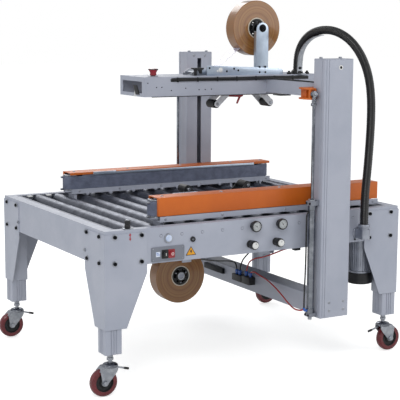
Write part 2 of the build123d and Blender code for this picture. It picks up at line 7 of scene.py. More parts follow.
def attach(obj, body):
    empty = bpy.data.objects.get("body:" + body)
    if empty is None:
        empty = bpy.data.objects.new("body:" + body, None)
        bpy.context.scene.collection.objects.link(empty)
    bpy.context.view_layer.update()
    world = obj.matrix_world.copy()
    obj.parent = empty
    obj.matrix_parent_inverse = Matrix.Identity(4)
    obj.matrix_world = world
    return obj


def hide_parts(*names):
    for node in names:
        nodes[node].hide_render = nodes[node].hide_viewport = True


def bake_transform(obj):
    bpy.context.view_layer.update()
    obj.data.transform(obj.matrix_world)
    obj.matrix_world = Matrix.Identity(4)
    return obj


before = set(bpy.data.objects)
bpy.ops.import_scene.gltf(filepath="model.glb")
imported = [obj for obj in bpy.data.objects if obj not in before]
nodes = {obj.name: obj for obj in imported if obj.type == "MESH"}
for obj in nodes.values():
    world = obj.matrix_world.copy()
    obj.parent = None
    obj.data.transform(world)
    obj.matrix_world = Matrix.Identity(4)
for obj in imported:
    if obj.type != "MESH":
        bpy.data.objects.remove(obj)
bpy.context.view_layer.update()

print("frame loaded:", len(nodes), "nodes")


def linear(hexColour):
    # sRGB hex to the linear values that Blender's sockets take
    parts = [int(hexColour[i:i + 2], 16) / 255 for i in (1, 3, 5)]
    return [p / 12.92 if p <= 0.04045 else ((p + 0.055) / 1.055) ** 2.4 for p in parts] + [1.0]


def addNode(tree, kind, values=None, links=None):
    node = tree.nodes.new(kind)
    for key, value in (values or {}).items():
        if isinstance(key, int) or key in node.inputs:
            node.inputs[key].default_value = value
        else:
            setattr(node, key, value)
    for key, source in (links or {}).items():
        tree.links.new(source if isinstance(source, bpy.types.NodeSocket) else source.outputs[0],
                       node.inputs[key])
    return node


# ---- surface finishes; grain sizes are in millimetres
def newMaterial(name, shader):
    material = bpy.data.materials.new(name)
    material.use_nodes = True
    tree = material.node_tree
    tree.nodes.clear()
    principled = addNode(tree, "ShaderNodeBsdfPrincipled", shader)
    addNode(tree, "ShaderNodeOutputMaterial", links={"Surface": principled})
    material.diffuse_color = shader.get("Base Color", (0.8, 0.8, 0.8, 1))
    return material, tree, principled


def objectPlace(tree, stretch=(1, 1, 1), centre=(0, 0, 0)):
    place = addNode(tree, "ShaderNodeTexCoord")
    return addNode(tree, "ShaderNodeMapping", {"Scale": stretch, "Location": centre},
                   {"Vector": place.outputs["Object"]})


def noiseOf(tree, place, grain, detail=3.0, rough=0.55):
    return addNode(tree, "ShaderNodeTexNoise",
                   {"Scale": 1000.0 / grain, "Detail": detail, "Roughness": rough}, {"Vector": place})


def spread(tree, source, low, high, fromLow=0.35, fromHigh=0.65):
    return addNode(tree, "ShaderNodeMapRange",
                   {"From Min": fromLow, "From Max": fromHigh, "To Min": low, "To Max": high},
                   {"Value": source})


def colourMix(tree, factor, first, second):
    mix = addNode(tree, "ShaderNodeMix", {"data_type": "RGBA"})
    for index, value in ((6, first), (7, second)):
        if isinstance(value, (list, tuple)):
            mix.inputs[index].default_value = value
        else:
            tree.links.new(value, mix.inputs[index])
    tree.links.new(factor.outputs[0], mix.inputs[0])
    return mix.outputs[2]


def finishShader(tree, shader, colour, roughSource, lowRough, highRough, bump, depth, links):
    # joins a finish's colour, roughness and fine relief to its shader
    tree.links.new(colour, shader.inputs["Base Color"])
    tree.links.new(spread(tree, roughSource, lowRough, highRough).outputs[0], shader.inputs["Roughness"])
    relief = addNode(tree, "ShaderNodeBump", {"Strength": bump, "Distance": depth}, links)
    tree.links.new(relief.outputs[0], shader.inputs["Normal"])


def edgeMask(tree, radius):
    # 1 on worn edges, 0 on the flats: where the rounded normal leaves the true one
    rounded = addNode(tree, "ShaderNodeBevel", {"samples": 4, "Radius": radius / 1000})
    flat = addNode(tree, "ShaderNodeNewGeometry")
    dot = addNode(tree, "ShaderNodeVectorMath", {"operation": "DOT_PRODUCT"},
                  {0: rounded, 1: flat.outputs["Normal"]})
    return addNode(tree, "ShaderNodeMapRange",
                   {"From Min": 0.995, "From Max": 0.85, "To Min": 0.0, "To Max": 1.0},
                   {"Value": dot.outputs["Value"]}), rounded


def paintedMetal(name, look):
    # powder coat: fine orange peel, faint mottling, soft sheen, and edges rubbed lighter
    material, tree, shader = newMaterial(name, {
        "Base Color": linear(look["colour"]), "Roughness": look["roughness"], "IOR": 1.5,
        "Coat Weight": look.get("coat", 0.15), "Coat Roughness": 0.25})
    place = objectPlace(tree)
    mottle = spread(tree, noiseOf(tree, place, 160.0, 4.0), 0.0, 1.0)
    wear, rounded = edgeMask(tree, look.get("edge", 1.2))
    dirt = noiseOf(tree, place, 22.0, 5.0, 0.7)
    rubbed = addNode(tree, "ShaderNodeMath", {"operation": "MULTIPLY"},
                     {0: wear, 1: spread(tree, dirt, 0.0, 0.75, 0.45, 0.7)})
    base = colourMix(tree, mottle, linear(look["colour"]), linear(look["shade"]))
    peel = noiseOf(tree, place, 3.0, 2.0)
    finishShader(tree, shader, colourMix(tree, rubbed, base, linear(look["worn"])), dirt,
                 look["roughness"] - 0.06,
                 look["roughness"] + 0.08, 0.12, 0.0004, {"Height": peel, "Normal": rounded})
    return material


def bareMetal(name, look):
    # metal: drawn or turned lines, a little cloudiness, roughness that follows both
    material, tree, shader = newMaterial(name, {
        "Base Color": linear(look["colour"]), "Metallic": 1.0, "Roughness": look["roughness"]})
    place = objectPlace(tree, look.get("stretch", (1, 1, 1)))
    lines = noiseOf(tree, place, look.get("grain", 4.0), 4.0, 0.6)
    cloud = noiseOf(tree, objectPlace(tree), look.get("cloud", 45.0), 3.0)
    rounded = addNode(tree, "ShaderNodeBevel", {"samples": 4, "Radius": 0.0008})
    tone = colourMix(tree, spread(tree, cloud, 0.0, 1.0), linear(look["colour"]), linear(look["shade"]))
    finishShader(tree, shader, colourMix(tree, spread(tree, lines, 0.0, 0.5), tone, linear(look["shade"])),
                 lines, look["roughness"] - 0.07, look["roughness"] + 0.09, look.get("bump", 0.08), 0.0003,
                 {"Height": lines, "Normal": rounded})
    return material


def mouldedPlastic(name, look):
    # moulded or cast: fine pebble, faint tone drift, softened edges
    values = {"Base Color": linear(look["colour"]), "Roughness": look["roughness"], "IOR": 1.49,
              "Coat Weight": look.get("coat", 0.0)}
    if "clear" in look:
        values["Transmission Weight"] = look["clear"]
    material, tree, shader = newMaterial(name, values)
    place = objectPlace(tree)
    drift = noiseOf(tree, place, look.get("drift", 30.0), 3.0)
    grain = noiseOf(tree, place, look.get("grain", 1.2), 2.0)
    rounded = addNode(tree, "ShaderNodeBevel", {"samples": 4, "Radius": look.get("edge", 0.8) / 1000})
    tone = colourMix(tree, spread(tree, drift, 0.0, 1.0), linear(look["colour"]), linear(look["shade"]))
    finishShader(tree, shader, tone, grain, look["roughness"] - 0.05, look["roughness"] + 0.07,
                 look.get("bump", 0.1), 0.0002, {"Height": grain, "Normal": rounded})
    return material


def woundTape(name, centre, look):
    # polypropylene tape: hundreds of edges seen as fine rings round the core, slightly see-through brown
    material, tree, shader = newMaterial(name, {
        "Base Color": linear(look["colour"]), "Roughness": 0.28, "IOR": 1.5, "Coat Weight": 0.4,
        "Subsurface Weight": 0.15, "Subsurface Scale": 0.004})
    place = objectPlace(tree, (1000, 0, 1000), (-centre[0], 0, -centre[2]))
    away = addNode(tree, "ShaderNodeVectorMath", {"operation": "LENGTH"}, {0: place})
    rings = addNode(tree, "ShaderNodeTexNoise",
                    {"noise_dimensions": "1D", "Scale": 1.0 / look["ring"], "Detail": 4.0,
                                                 "Roughness": 0.75}, {"W": away.outputs["Value"]})
    broad = addNode(tree, "ShaderNodeTexNoise",
                    {"noise_dimensions": "1D", "Scale": 1.0 / look["band"], "Detail": 2.0},
                    {"W": away.outputs["Value"]})
    tone = colourMix(tree, spread(tree, rings, 0.0, 1.0), linear(look["colour"]), linear(look["shade"]))
    tree.links.new(colourMix(tree, spread(tree, broad, 0.0, 0.6), tone, linear(look["light"])),
                   shader.inputs["Base Color"])
    bump = addNode(tree, "ShaderNodeBump", {"Strength": 0.25, "Distance": 0.0004}, {"Height": rings})
    tree.links.new(bump.outputs[0], shader.inputs["Normal"])
    return material


def lookOf(colour, shade, roughness, **more):
    return {"colour": colour, "shade": shade, "roughness": roughness, **more}


finishes = {
    "frameGrey": lookOf("#a9adba", "#a0a5b3", 0.42, worn="#c8cbd2", coat=0.2),
    "sealOrange": lookOf("#cd6614", "#c05c10", 0.45, worn="#dc9358", coat=0.05),
    "armWhite": lookOf("#eceef2", "#dfe2e8", 0.38, worn="#f2f2f2"),
    "guardRed": lookOf("#b3242f", "#a01d28", 0.36, worn="#cf5a5f", coat=0.3),
    "signYellow": lookOf("#e3a21a", "#d89613", 0.45, worn="#eebd5a", edge=0.3),
    "panelGrey": lookOf("#7b7f89", "#737782", 0.4, worn="#9b9ea6"),
    "blackCoat": lookOf("#17181b", "#202226", 0.45, worn="#4a4c50"),
}
metals = {
    "zincPlate": lookOf("#b9bcc2", "#9a9ea6", 0.34, grain=6.0, cloud=14.0),
    "castAlloy": lookOf("#b4b8c2", "#9b9fa9", 0.42, grain=1.5, bump=0.2),
    "hardChrome": lookOf("#9a9da4", "#70747c", 0.14, grain=12.0, bump=0.02),
    "turnedSteel": lookOf("#7b7e88", "#595c66", 0.42, stretch=(6, 0.4, 6), grain=9.0),
    "mastSteel": lookOf("#ccd8e6", "#b9c6d6", 0.36, stretch=(1, 1, 0.1), grain=3.0),
    "blackSteel": lookOf("#2b2c30", "#1d1e21", 0.38, grain=2.0),
}
plastics = {
    "blackNylon": lookOf("#121214", "#1b1b1e", 0.42, drift=18.0),
    "hoseNylon": lookOf("#070708", "#0e0e10", 0.3, coat=0.1, drift=18.0),
    "pressRubber": lookOf("#0b0b0d", "#121214", 0.5, grain=0.9, bump=0.2),
    "beltRubber": lookOf("#6f768b", "#5c6276", 0.5, grain=1.6, bump=0.25),
    "castUrethane": lookOf("#6b1720", "#571018", 0.3, coat=0.4, edge=1.5),
    "buttonRed": lookOf("#a3202c", "#8c1722", 0.3, coat=0.5),
    "buttonBlack": lookOf("#17171a", "#222226", 0.35),
    "whiteNylon": lookOf("#e6e6e4", "#d8d8d6", 0.4),
    "coreBoard": lookOf("#d9d3c6", "#c8c0b0", 0.7, grain=0.8, bump=0.3),
    "blueUrethane": lookOf("#2f62b8", "#2654a3", 0.28, coat=0.3),
    "redUrethane": lookOf("#c02a2a", "#a82020", 0.28, coat=0.3),
    "lampLens": lookOf("#dfe6f2", "#b9c8e4", 0.2, coat=0.6, grain=3.0),
    "dialWhite": lookOf("#efefec", "#e6e6e3", 0.5),
    "clearLens": lookOf("#f4f6f8", "#eef2f5", 0.05, clear=0.95, bump=0.0),
    "tapeWeb": lookOf("#c3bfd0", "#b3aec2", 0.25, clear=0.2, coat=0.4, bump=0.02),
    "greyBoard": lookOf("#7d6f66", "#6b5f58", 0.5),
}
material = {}
for table, make in ((finishes, paintedMetal), (metals, bareMetal), (plastics, mouldedPlastic)):
    for key, look in table.items():
        material[key] = make(key, look)
print("finishes made:", len(material))


alongY, alongZ, toFront = (0, 1, 0), (0, 0, 1), (0, -1, 0)
screwSteps, roundSteps = 18, 32  # sides of a turned screw and of other turned pieces


def placeObject(name, data):
    piece = bpy.data.objects.new(name, data)
    bpy.context.scene.collection.objects.link(piece)
    return piece


def plainMesh(piece):
    # the mesh that an object's modifiers or curve settings give
    bpy.context.view_layer.update()
    return bpy.data.meshes.new_from_object(piece.evaluated_get(bpy.context.evaluated_depsgraph_get()))


# ---- shape tools: pieces are drawn in place in millimetres and kept in metres
def keepMesh(name, mesh, finish, body, angle=32):
    mesh.name = name
    piece = placeObject(name, mesh)
    if not mesh.materials:
        mesh.materials.append(material[finish])
    mesh.shade_smooth()
    mesh.set_sharp_from_angle(angle=math.radians(angle))
    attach(piece, body)
    return piece


def closeShape(shape, bevel=0.0, steps=2, limit=28):
    bmesh.ops.remove_doubles(shape, verts=shape.verts, dist=1e-4)
    bmesh.ops.recalc_face_normals(shape, faces=shape.faces)
    if bevel:
        sharp = [e for e in shape.edges if len(e.link_faces) == 2
                 and e.calc_face_angle(0.0) > math.radians(limit)]
        bmesh.ops.bevel(shape, geom=sharp, offset=bevel, segments=steps, profile=0.6, affect="EDGES",
                        clamp_overlap=True)
    mesh = bpy.data.meshes.new("shape")
    shape.to_mesh(mesh)
    shape.free()
    mesh.transform(Matrix.Scale(0.001, 4))
    return mesh


def makePiece(name, shape, finish, body, bevel=0.0, steps=2, limit=28):
    return keepMesh(name, closeShape(shape, bevel, steps, limit), finish, body)


def addBox(shape, xs, ys, zs):
    corners = [shape.verts.new((x, y, z)) for x in xs for y in ys for z in zs]
    for face in ((0, 1, 3, 2), (4, 6, 7, 5), (0, 4, 5, 1), (2, 3, 7, 6), (0, 2, 6, 4), (1, 5, 7, 3)):
        shape.faces.new([corners[i] for i in face])


def basis(axis):
    # two directions square to an axis, then the axis itself
    axis = Vector(axis).normalized()
    side = axis.orthogonal() if abs(axis.z) > 0.99 else Vector(alongZ).cross(axis)
    side.normalize()
    return side, axis.cross(side), axis


def capOf(radius, wall, top, height):
    # outline of a chamfered head: straight up to wall, then in to the top's radius
    return [(0, 0), (radius, 0), (radius, wall), (top, height), (0, height)]


def ringOf(inner, outer, height):
    return [(inner, 0), (outer, 0), (outer, height), (inner, height)]


def discOf(radius, height):
    return ringOf(0, radius, height)


def addTurned(shape, centre, axis, outline, steps=roundSteps, closed=True):
    # outline: (radius, distance along the axis); a closed outline makes a ring, an open one starts and ends
    # on the axis
    side, up, along = basis(axis)
    centre = Vector(centre)
    rings = []
    for radius, distance in outline:
        place = centre + along * distance
        if radius < 1e-6:
            rings.append([shape.verts.new(place)])
        else:
            rings.append([shape.verts.new(place + (side * math.cos(a) + up * math.sin(a)) * radius)
                          for a in (2 * math.pi * i / steps for i in range(steps))])
    pairs = list(zip(rings, rings[1:] + rings[:1])) if closed else list(zip(rings, rings[1:]))
    for first, second in pairs:
        for i in range(steps):
            j = (i + 1) % steps
            ring = [first[i % len(first)], first[j % len(first)], second[j % len(second)],
                    second[i % len(second)]]
            ring = [v for k, v in enumerate(ring) if v not in ring[:k]]
            if len(ring) > 2:
                shape.faces.new(ring)


def addRod(shape, start, end, radius, steps=24, rounding=0.0):
    run = Vector(end) - Vector(start)
    cut = min(rounding, radius * 0.9)
    outline = [(0, 0), (radius - cut, 0), (radius, cut), (radius, run.length - cut),
               (radius - cut, run.length), (0, run.length)]
    if cut < 1e-6:
        outline = discOf(radius, run.length)
    addTurned(shape, start, run, outline, steps, False)


def addPlate(shape, points, axis, low, high):
    # a flat outline pushed out along x, y or z
    at = "xyz".index(axis)
    lower, upper = [[shape.verts.new((*p[:at], level, *p[at:])) for p in points] for level in (low, high)]
    count = len(points)
    shape.faces.new(lower)
    shape.faces.new(upper[::-1])
    for i in range(count):
        shape.faces.new((lower[i], upper[i], upper[(i + 1) % count], lower[(i + 1) % count]))


def roundedPath(points, corner, steps=6):
    # flat outline with rounded corners
    result = []
    count = len(points)
    for i, here in enumerate(points):
        here = Vector((here[0], here[1]))
        before = Vector(points[i - 1][:2])
        after = Vector(points[(i + 1) % count][:2])
        size = corner[i] if isinstance(corner, (list, tuple)) else corner
        if size <= 0:
            result.append((here.x, here.y))
            continue
        first = here + (before - here).normalized() * size
        last = here + (after - here).normalized() * size
        for k in range(steps + 1):
            t = k / steps
            p = first * (1 - t) ** 2 + here * 2 * t * (1 - t) + last * t ** 2
            result.append((p.x, p.y))
    return result


def lineOf(name, points, order=3):
    # a smooth line through space: NURBS with these control points, in metres
    curve = bpy.data.curves.new(name, "CURVE")
    curve.dimensions = "3D"
    curve.resolution_u = 12
    spline = curve.splines.new("NURBS")
    spline.points.add(len(points) - 1)
    for point, place in zip(spline.points, points):
        point.co = (place[0], place[1], place[2], 1.0)
    spline.order_u = order
    spline.use_endpoint_u = True
    return placeObject(name, curve)


def addTube(name, points, radius, finish, body):
    # a thin air tube or cable that the machine holds all the way; its points are in millimetres
    piece = lineOf(name, [[v / 1000 for v in p] for p in points])
    piece.data.bevel_depth = radius / 1000
    piece.data.bevel_resolution = 3
    piece.data.use_fill_caps = True
    piece.data.resolution_u = 5
    mesh = plainMesh(piece)
    bpy.data.objects.remove(piece)
    mesh.materials.clear()
    return keepMesh(name, mesh, finish, body, 60)


def shaped(add, *values):
    # a new shape with one box, plate, rod or turned body in it
    shape = bmesh.new()
    add(shape, *values)
    return shape


# ---- geometry node trees
def newTree(name, inputs):
    tree = bpy.data.node_groups.new(name, "GeometryNodeTree")
    tree.interface.new_socket("Geometry", in_out="INPUT", socket_type="NodeSocketGeometry")
    for label, kind, value in inputs:
        socket = tree.interface.new_socket(label, in_out="INPUT", socket_type=kind)
        if value is not None:
            socket.default_value = value
    tree.interface.new_socket("Geometry", in_out="OUTPUT", socket_type="NodeSocketGeometry")
    return tree, addNode(tree, "NodeGroupInput")


def endTree(tree, given, geometry):
    real = addNode(tree, "GeometryNodeRealizeInstances", links={"Geometry": geometry})
    painted = addNode(tree, "GeometryNodeSetMaterial",
                      links={"Geometry": real, "Material": given.outputs["Material"]})
    addNode(tree, "NodeGroupOutput", links={0: painted})


def grown(source, tree, values):
    # run a tree on an object, keep the plain mesh, drop the source
    modifier = source.modifiers.new("grow", "NODES")
    modifier.node_group = tree
    for item in tree.interface.items_tree:
        if item.item_type == "SOCKET" and item.in_out == "INPUT" and item.name in values:
            modifier[item.identifier] = values[item.name]
    mesh = plainMesh(source)
    source.modifiers.remove(modifier)
    bpy.data.objects.remove(source)
    return mesh


# copies of one small part at many places, each turned to face its own way
copyTree, given = newTree("copiesAtPlaces", [
    ("Part", "NodeSocketObject", None), ("Size", "NodeSocketFloat", 1.0),
    ("Material", "NodeSocketMaterial", None)])
facing = addNode(copyTree, "GeometryNodeInputNamedAttribute", {"data_type": "FLOAT_VECTOR", "Name": "facing"})
turned = addNode(copyTree, "FunctionNodeAlignRotationToVector", {"axis": "Z"}, {"Vector": facing})
part = addNode(copyTree, "GeometryNodeObjectInfo", links={"Object": given.outputs["Part"]})
copies = addNode(copyTree, "GeometryNodeInstanceOnPoints", links={
    "Points": given.outputs["Geometry"], "Instance": part.outputs["Geometry"], "Rotation": turned,
    "Scale": given.outputs["Size"]})
endTree(copyTree, given, copies)


def placeCopies(name, shape, places, finish, body, size=1.0, bevel=0.0):
    # places: (point in mm, direction that the part's top faces)
    mesh = closeShape(shape, bevel)
    partObject = placeObject(name + "Part", mesh)
    dots = bpy.data.meshes.new(name + "Dots")
    dots.from_pydata([[v / 1000 for v in p] for p, _ in places], [], [])
    attribute = dots.attributes.new("facing", "FLOAT_VECTOR", "POINT")
    attribute.data.foreach_set("vector", [float(v) for _, d in places for v in d])
    source = placeObject(name + "Dots", dots)
    result = grown(source, copyTree, {"Part": partObject, "Size": size, "Material": material[finish]})
    bpy.data.objects.remove(partObject)
    return keepMesh(name, result, finish, body)


def socketScrew(head, height, socket):
    shape = bmesh.new()
    addTurned(shape, (0, 0, 0), alongZ,
              [(0, height * 0.35), (socket, height * 0.35), (socket, height), (head - 0.8, height),
               (head, height - 0.8), (head, -0.5), (0, -0.5)], screwSteps, False)
    return shape


def domeScrew(head, height):
    shape = bmesh.new()
    addTurned(shape, (0, 0, 0), alongZ,
              [(0, height * 0.55), (head * 0.3, height * 0.55), (head * 0.32, height),
               (head * 0.6, height * 0.86),
               (head * 0.88, height * 0.5), (head, 0.2), (head, -0.5), (0, -0.5)], screwSteps, False)
    return shape


def hexNut(across, height, hole):
    shape = bmesh.new()
    radius = across / 2 / math.cos(math.pi / 6)
    addTurned(shape, (0, 0, 0), alongZ,
              [(hole, height), (radius * 0.93, height), (radius, height * 0.85), (radius, -0.5),
               (hole, -0.5)], 6)
    return shape


# ribbed hose along a line: rings raised at an even pitch
hoseTree, given = newTree("ribbedHose", [
    ("Radius", "NodeSocketFloat", 0.016), ("Pitch", "NodeSocketFloat", 0.006),
    ("Rib", "NodeSocketFloat", 0.1), ("Material", "NodeSocketMaterial", None)])
stepLength = addNode(hoseTree, "ShaderNodeMath", {"operation": "DIVIDE", 1: 6.0}, {0: given.outputs["Pitch"]})
evenly = addNode(hoseTree, "GeometryNodeResampleCurve", {"mode": "LENGTH"},
                 {"Curve": given.outputs["Geometry"], "Length": stepLength})
along = addNode(hoseTree, "GeometryNodeSplineParameter")
phase = addNode(hoseTree, "ShaderNodeMath", {"operation": "DIVIDE"},
                {0: along.outputs["Length"], 1: given.outputs["Pitch"]})
whole = addNode(hoseTree, "ShaderNodeMath", {"operation": "MULTIPLY", 1: 2 * math.pi}, {0: phase})
wave = addNode(hoseTree, "ShaderNodeMath", {"operation": "SINE"}, {0: whole})
sized = addNode(hoseTree, "ShaderNodeMath", {"operation": "MULTIPLY_ADD", 2: 1.0},
                {0: wave, 1: given.outputs["Rib"]})
thick = addNode(hoseTree, "GeometryNodeSetCurveRadius", links={"Curve": evenly, "Radius": sized})
ring = addNode(hoseTree, "GeometryNodeCurvePrimitiveCircle", {"Resolution": 20},
               {"Radius": given.outputs["Radius"]})
skin = addNode(hoseTree, "GeometryNodeCurveToMesh", {"Fill Caps": True},
               {"Curve": thick, "Profile Curve": ring.outputs["Curve"]})
radiusField = addNode(hoseTree, "GeometryNodeInputRadius")
hoseTree.links.new(radiusField.outputs[0], skin.inputs["Scale"])
endTree(hoseTree, given, skin)


# ribs on a loop: a profile swept round a belt's path
sweepTree, given = newTree("profileAlongPath", [
    ("Profile", "NodeSocketObject", None), ("Material", "NodeSocketMaterial", None)])
pathLine = addNode(sweepTree, "GeometryNodeMeshToCurve", links={"Mesh": given.outputs["Geometry"]})
upright = addNode(sweepTree, "GeometryNodeSetCurveNormal", {"mode": "Z_UP"}, {"Curve": pathLine})
section = addNode(sweepTree, "GeometryNodeObjectInfo", links={"Object": given.outputs["Profile"]})
sectionLine = addNode(sweepTree, "GeometryNodeMeshToCurve", links={"Mesh": section.outputs["Geometry"]})
swept = addNode(sweepTree, "GeometryNodeCurveToMesh", {"Fill Caps": True},
                {"Curve": upright, "Profile Curve": sectionLine})
endTree(sweepTree, given, swept)


def sweepPiece(name, path, section, finish, body, closed=True, angle=40):
    # path: points in mm; section: closed outline in mm, first number sideways, second up
    def wire(label, points, loop):
        mesh = bpy.data.meshes.new(label)
        edges = [(i, i + 1) for i in range(len(points) - 1)] + ([(len(points) - 1, 0)] if loop else [])
        mesh.from_pydata([[v / 1000 for v in p] for p in points], edges, [])
        return placeObject(label, mesh)
    outline = wire(name + "Section", [(a, -b, 0) for a, b in section], True)
    source = wire(name + "Path", path, closed)
    mesh = grown(source, sweepTree, {"Profile": outline, "Material": material[finish]})
    bpy.data.objects.remove(outline)
    shape = bmesh.new()
    shape.from_mesh(mesh)
    bmesh.ops.remove_doubles(shape, verts=shape.verts, dist=1e-6)
    bmesh.ops.recalc_face_normals(shape, faces=shape.faces)
    shape.to_mesh(mesh)
    shape.free()
    return keepMesh(name, mesh, finish, body, angle)


print("node trees made")


# ---- camera, light and floor
view = {"lens": 106.23, "place": (-2.35489, -4.17693, 1.32760), "axes": (  # right, up and back
    (0.87011584, -0.4928182, 0.00535201), (0.06899656, 0.13255782, 0.9887709),
    (-0.48799375, -0.85997596, 0.14934342))}
camera = bpy.data.cameras.new("camera")
camera.sensor_width = 36
camera.lens = view["lens"]
camera.clip_start, camera.clip_end = 0.1, 60
cameraObject = placeObject("camera", camera)
cameraObject.matrix_world = Matrix([[axis[i] for axis in view["axes"]] + [view["place"][i]] for i in range(3)]
                                   + [[0, 0, 0, 1]])
bpy.context.scene.camera = cameraObject

studio = {"sky": "#f4f6f9", "skyStrength": 0.60, "backdrop": "#ffffff", "floor": "#f4f4f2", "floorGlow": 0.56,
          "lamps": [  # name, place, aim, size, watts
              ("keyLamp", (-2.6, -3.4, 3.6), (0, 0, 0.6), 2.2, 78),
              ("fillLamp", (2.8, -3.0, 2.2), (0, 0, 0.6), 2.4, 34),
              ("sideLamp", (-3.8, 0.4, 1.5), (0, 0, 0.5), 2.2, 16),
              ("backLamp", (0.6, 3.4, 2.8), (0, 0, 0.7), 2.0, 40)]}
world = bpy.data.worlds.new("studio")
bpy.context.scene.world = world
world.use_nodes = True
world.node_tree.nodes.clear()
sky = addNode(world.node_tree, "ShaderNodeBackground", {"Color": linear(studio["sky"]),
                                                        "Strength": studio["skyStrength"]})
backdrop = addNode(world.node_tree, "ShaderNodeBackground",
                   {"Color": linear(studio["backdrop"]), "Strength": 1.0})
seen = addNode(world.node_tree, "ShaderNodeLightPath")
mixed = addNode(world.node_tree, "ShaderNodeMixShader",
                links={0: seen.outputs["Is Camera Ray"], 1: sky, 2: backdrop})
addNode(world.node_tree, "ShaderNodeOutputWorld", links={"Surface": mixed})
for name, place, aim, size, watts in studio["lamps"]:
    lamp = bpy.data.lights.new(name, "AREA")
    lamp.size, lamp.energy = size, watts
    lampObject = placeObject(name, lamp)
    lampObject.location = place
    lampObject.rotation_euler = (Vector(aim) - Vector(place)).to_track_quat("-Z", "Y").to_euler()
bpy.context.scene.view_settings.view_transform = "Standard"

floorMaterial, floorTree, floorShader = newMaterial("paleFloor", {"Base Color": linear(studio["floor"]),
                                                                  "Roughness": 0.9})
floorNoise = noiseOf(floorTree, objectPlace(floorTree), 400.0, 2.0)
floorTree.links.new(colourMix(floorTree, spread(floorTree, floorNoise, 0, 1), linear("#f4f4f2"),
                              linear("#f0f0ee")),
                    floorShader.inputs["Base Color"])
direct = addNode(floorTree, "ShaderNodeLightPath")
glow = addNode(floorTree, "ShaderNodeMath", {"operation": "MULTIPLY", 1: studio["floorGlow"]},
               {0: direct.outputs["Is Camera Ray"]})
floorTree.links.new(glow.outputs[0], floorShader.inputs["Emission Strength"])
floorShader.inputs["Emission Color"].default_value = linear(studio["backdrop"])
floorMesh = bpy.data.meshes.new("floor")
floorMesh.from_pydata([(-30, -30, -0.001), (30, -30, -0.001), (30, 30, -0.001), (-30, 30, -0.001)], [],
                      [(0, 1, 2, 3)])
floorMesh.materials.append(floorMaterial)
floorObject = placeObject("floor", floorMesh)
print("camera and studio ready")


# ---- conduit hose from the head to the front panel
hose = {"radius": 0.017, "rib": 0.045, "pitch": 0.0066, "length": 1.2}
hoseRoute = [
    (0.429, -0.082, 1.126), (0.429, -0.082, 1.176), (0.430, -0.098, 1.224), (0.433, -0.132, 1.262),
    (0.436, -0.182, 1.287), (0.439, -0.243, 1.298), (0.442, -0.310, 1.297), (0.445, -0.378, 1.280),
    (0.448, -0.440, 1.248), (0.451, -0.492, 1.200), (0.453, -0.531, 1.138), (0.454, -0.552, 1.062),
    (0.454, -0.557, 0.970), (0.454, -0.552, 0.870), (0.453, -0.544, 0.765), (0.452, -0.532, 0.655),
    (0.452, -0.532, 0.548)]
hoseLine = lineOf("hoseLine", hoseRoute)
hosePath = [tuple(v.co) for v in plainMesh(hoseLine).vertices]
hoseMesh = grown(hoseLine, hoseTree, {"Radius": hose["radius"] * (1 - hose["rib"]), "Pitch": hose["pitch"],
                                      "Rib": hose["rib"], "Material": material["hoseNylon"]})
hoseMesh.name = "ribbedHose"
hoseMesh.shade_smooth()
ribbedHose = placeObject("ribbedHose", hoseMesh)
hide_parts("conduit_hose")
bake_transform(ribbedHose)
hoseLength = sum((Vector(a) - Vector(b)).length for a, b in zip(hosePath, hosePath[1:]))
print("hose length", round(hoseLength, 3), "points", len(hosePath))


# ---- finishes of the CAD nodes that keep their shape
nodeFinish = {
    "table_panels": "frameGrey", "leg_covers": "frameGrey", "leg_posts": "frameGrey",
    "bed_supports": "zincPlate",
    "columns": "frameGrey", "cross_channel": "frameGrey", "lift_cylinders": "hardChrome",
    "lift_rods": "hardChrome",
    "head_beam": "frameGrey", "lift_crossbeams": "frameGrey", "lift_yokes": "sealOrange",
    "tape_mast": "mastSteel",
    "upper_cassette": "mastSteel", "lower_cassette": "frameGrey", "leg_bolts": "blackSteel",
    "panel_fittings": "frameGrey", "guide_roller": "blackNylon", "emergency_stop": "buttonRed",
    "start_button": "buttonBlack", "stop_button": "buttonRed", "lift_pressure_knob": "blackNylon",
    "belt_pressure_knob": "blackNylon",
}
familyFinish = {  # how a node's name starts or ends, for nodes that come in numbers
    "roller_": "turnedSteel", "caster_fork": "zincPlate", "caster_wheel": "castUrethane",
    "belt_cover": "sealOrange",
    "side_belt": "beltRubber", "belt_motor": "castAlloy", "tape_roll": "greyBoard"}
for name, piece in nodes.items():
    family = [look for key, look in familyFinish.items() if name.startswith(key) or name.endswith(key)]
    if name.endswith("_arm"):
        family = ["armWhite" if name.startswith("upper_") else "blackCoat"]
    finish = family[0] if family else nodeFinish.get(name, "frameGrey")
    piece.data.materials.clear()
    piece.data.materials.append(material[finish])


